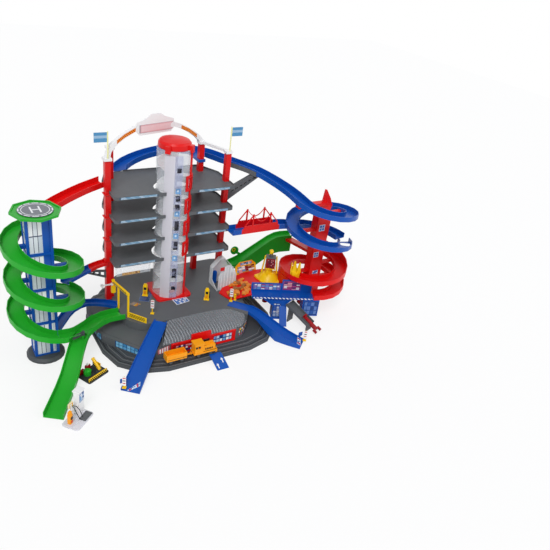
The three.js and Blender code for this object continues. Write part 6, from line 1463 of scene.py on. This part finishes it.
print("train dressed")

# %% [markdown]
# Two ramps end in a printed blue label, the small ramp has two white arrows, and the lever of
# the jump has a round yellow and green sticker. The arrows are thin plates laid on the slope,
# and the sticker is two low discs.

# %% Ramp ends, arrows and the lever
END_INKS = [WHITE, PALE, SIGNAL, (0.04, 0.14, 0.42)]
ARROW = [(-3, -14), (3, -14), (3, 2), (8, 2), (0, 13), (-8, 2), (-3, 2)]
ramp_look = print_look("ramp_end_print", (0.04, 0.14, 0.42), END_INKS, (7, 2), (0.08, 0.14), 0.4, 0.06, PALE)
front_end = ((-306, -416, 4), (-258, -403, 4), (-252, -388, 10), (-300, -400, 10))
right_end = ((352, -410, 6), (376, -376, 6), (366, -366, 14), (342, -400, 14))
labels("front_ramp_end", ramp_look, [("front_ramp", front_end, DOWN)])
labels("right_ramp_end", ramp_look, [("right_ramp", right_end, DOWN)])
arrow = [(x * 0.62, y * 0.8) for x, y in ARROW]
work = bmesh.new()
for x, y in ((18, -402), (41, -384)):
    hit, normal = surface_of("small_ramp").ray_cast(Vector((x, y, 100)) * MM, DOWN)[:2]
    up = Vector((0, 1, 0)) - normal * normal.y
    add_plate(work, arrow, hit / MM + normal * 0.1, (1, 0, 0), up, 0.5)
finish_piece("small_ramp_arrows", work, [finish["pad_white"]])
low, high = (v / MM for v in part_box("jump_lever"))
x, y, z = low.x + 12.5, low.y, high.z - 12.5
work = bmesh.new()
add_tube(work, (x, y - 0.5, z), (x, y + 0.4, z), 8, 0, 28)
add_tube(work, (x, y - 0.9, z), (x, y + 0.2, z), 4.5, 1, 24)
finish_piece("lever_sticker", work, [finish["yellow"], finish["green"]], body="jump_lever")
print("ramps and lever stickered")

# %% [markdown]
# Track rails run round the tray. The outline of the tray's top gives their course: it is read
# from the mesh, moved inwards, and kept only where the road block leaves the tray open. A
# Geometry Nodes tree sweeps a small profile along the course. Grey ridges stand on the tray,
# and thin black strips just below its top are painted shade in the grooves.

# %% Track rails on the tray
TRAY_TOP, SHARPEST, STRIDE = 15, 0.4, 7.0


def turn_of(a, b, c):
    return (b[0] - a[0]) * (c[1] - a[1]) - (b[1] - a[1]) * (c[0] - a[0])


def hull_of(points):
    points = sorted(set((round(x, 2), round(y, 2)) for x, y in points))
    chains = []
    for ordered in (points, points[::-1]):
        chain = []
        for p in ordered:
            while len(chain) > 1 and turn_of(chain[-2], chain[-1], p) <= 0.01:
                chain.pop()
            chain.append(p)
        chains.append(chain[:-1])
    return [Vector(point) for point in chains[0] + chains[1]]


def tray_course(inset):
    corners = [v.co / MM for v in skins["base_tray"].data.vertices]
    hull = hull_of([(p.x, p.y) for p in corners if abs(p.z - TRAY_TOP) < 0.05])
    moved = []
    for k, here in enumerate(hull):
        before, after = hull[k - 1], hull[(k + 1) % len(hull)]
        first, second = (here - before).normalized(), (after - here).normalized()
        side_a, side_b = Vector((-first.y, first.x)), Vector((-second.y, second.x))
        bisector = (side_a + side_b).normalized()
        moved.append(here + bisector * inset / max(bisector.dot(side_a), SHARPEST))
    return moved


def open_runs(course, height):
    dense = []
    for k, here in enumerate(course):
        after = course[(k + 1) % len(course)]
        parts = max(1, round((after - here).length / STRIDE))
        dense += [here.lerp(after, i / parts) for i in range(parts)]
    runs, run = [], []
    for point in dense + dense[:1]:
        above = Vector((point.x, point.y, 300)) * MM
        if surface_of("road_block").ray_cast(above, DOWN)[0] is None:
            run.append((point.x, point.y, height))
        else:
            runs.append(run)
            run = []
    runs.append(run)
    return [run for run in runs if len(run) > 2]


def rail_tree():
    tree, given = start_tree("rails", ("Width", "Height"))
    section = {"Width": given["Width"], "Height": given["Height"]}
    profile = place(tree, "GeometryNodeCurvePrimitiveQuadrilateral", section)
    sweep = {"Curve": given["Geometry"], "Profile Curve": profile.outputs[0], "Fill Caps": True}
    swept = place(tree, "GeometryNodeCurveToMesh", sweep)
    return ink_and_close(tree, swept.outputs[0], given)


rails = rail_tree()
rail_grey = plastic("rail_grey", (0.16, 0.165, 0.17), gloss=0.35)
RAILS = {
    "rail_ridges": ((5, 24.5, 44), 15.3, {"Material": rail_grey, "Width": 0.0022, "Height": 0.0014}),
    # Painted shade: black strips a little below the tray's top stand in for the shadow in the grooves.
    "rail_groove_shade": ((13.5, 35.5), 14.2, {"Material": finish["black"], "Width": 0.0028, "Height": 0.0006}),
}
for name, (insets, height, sizes) in RAILS.items():
    runs = [run for inset in insets for run in open_runs(tray_course(inset), height)]
    run_tree(name, course_curve(name + "_course", runs), rails, sizes)
print("rails:", ", ".join(RAILS))
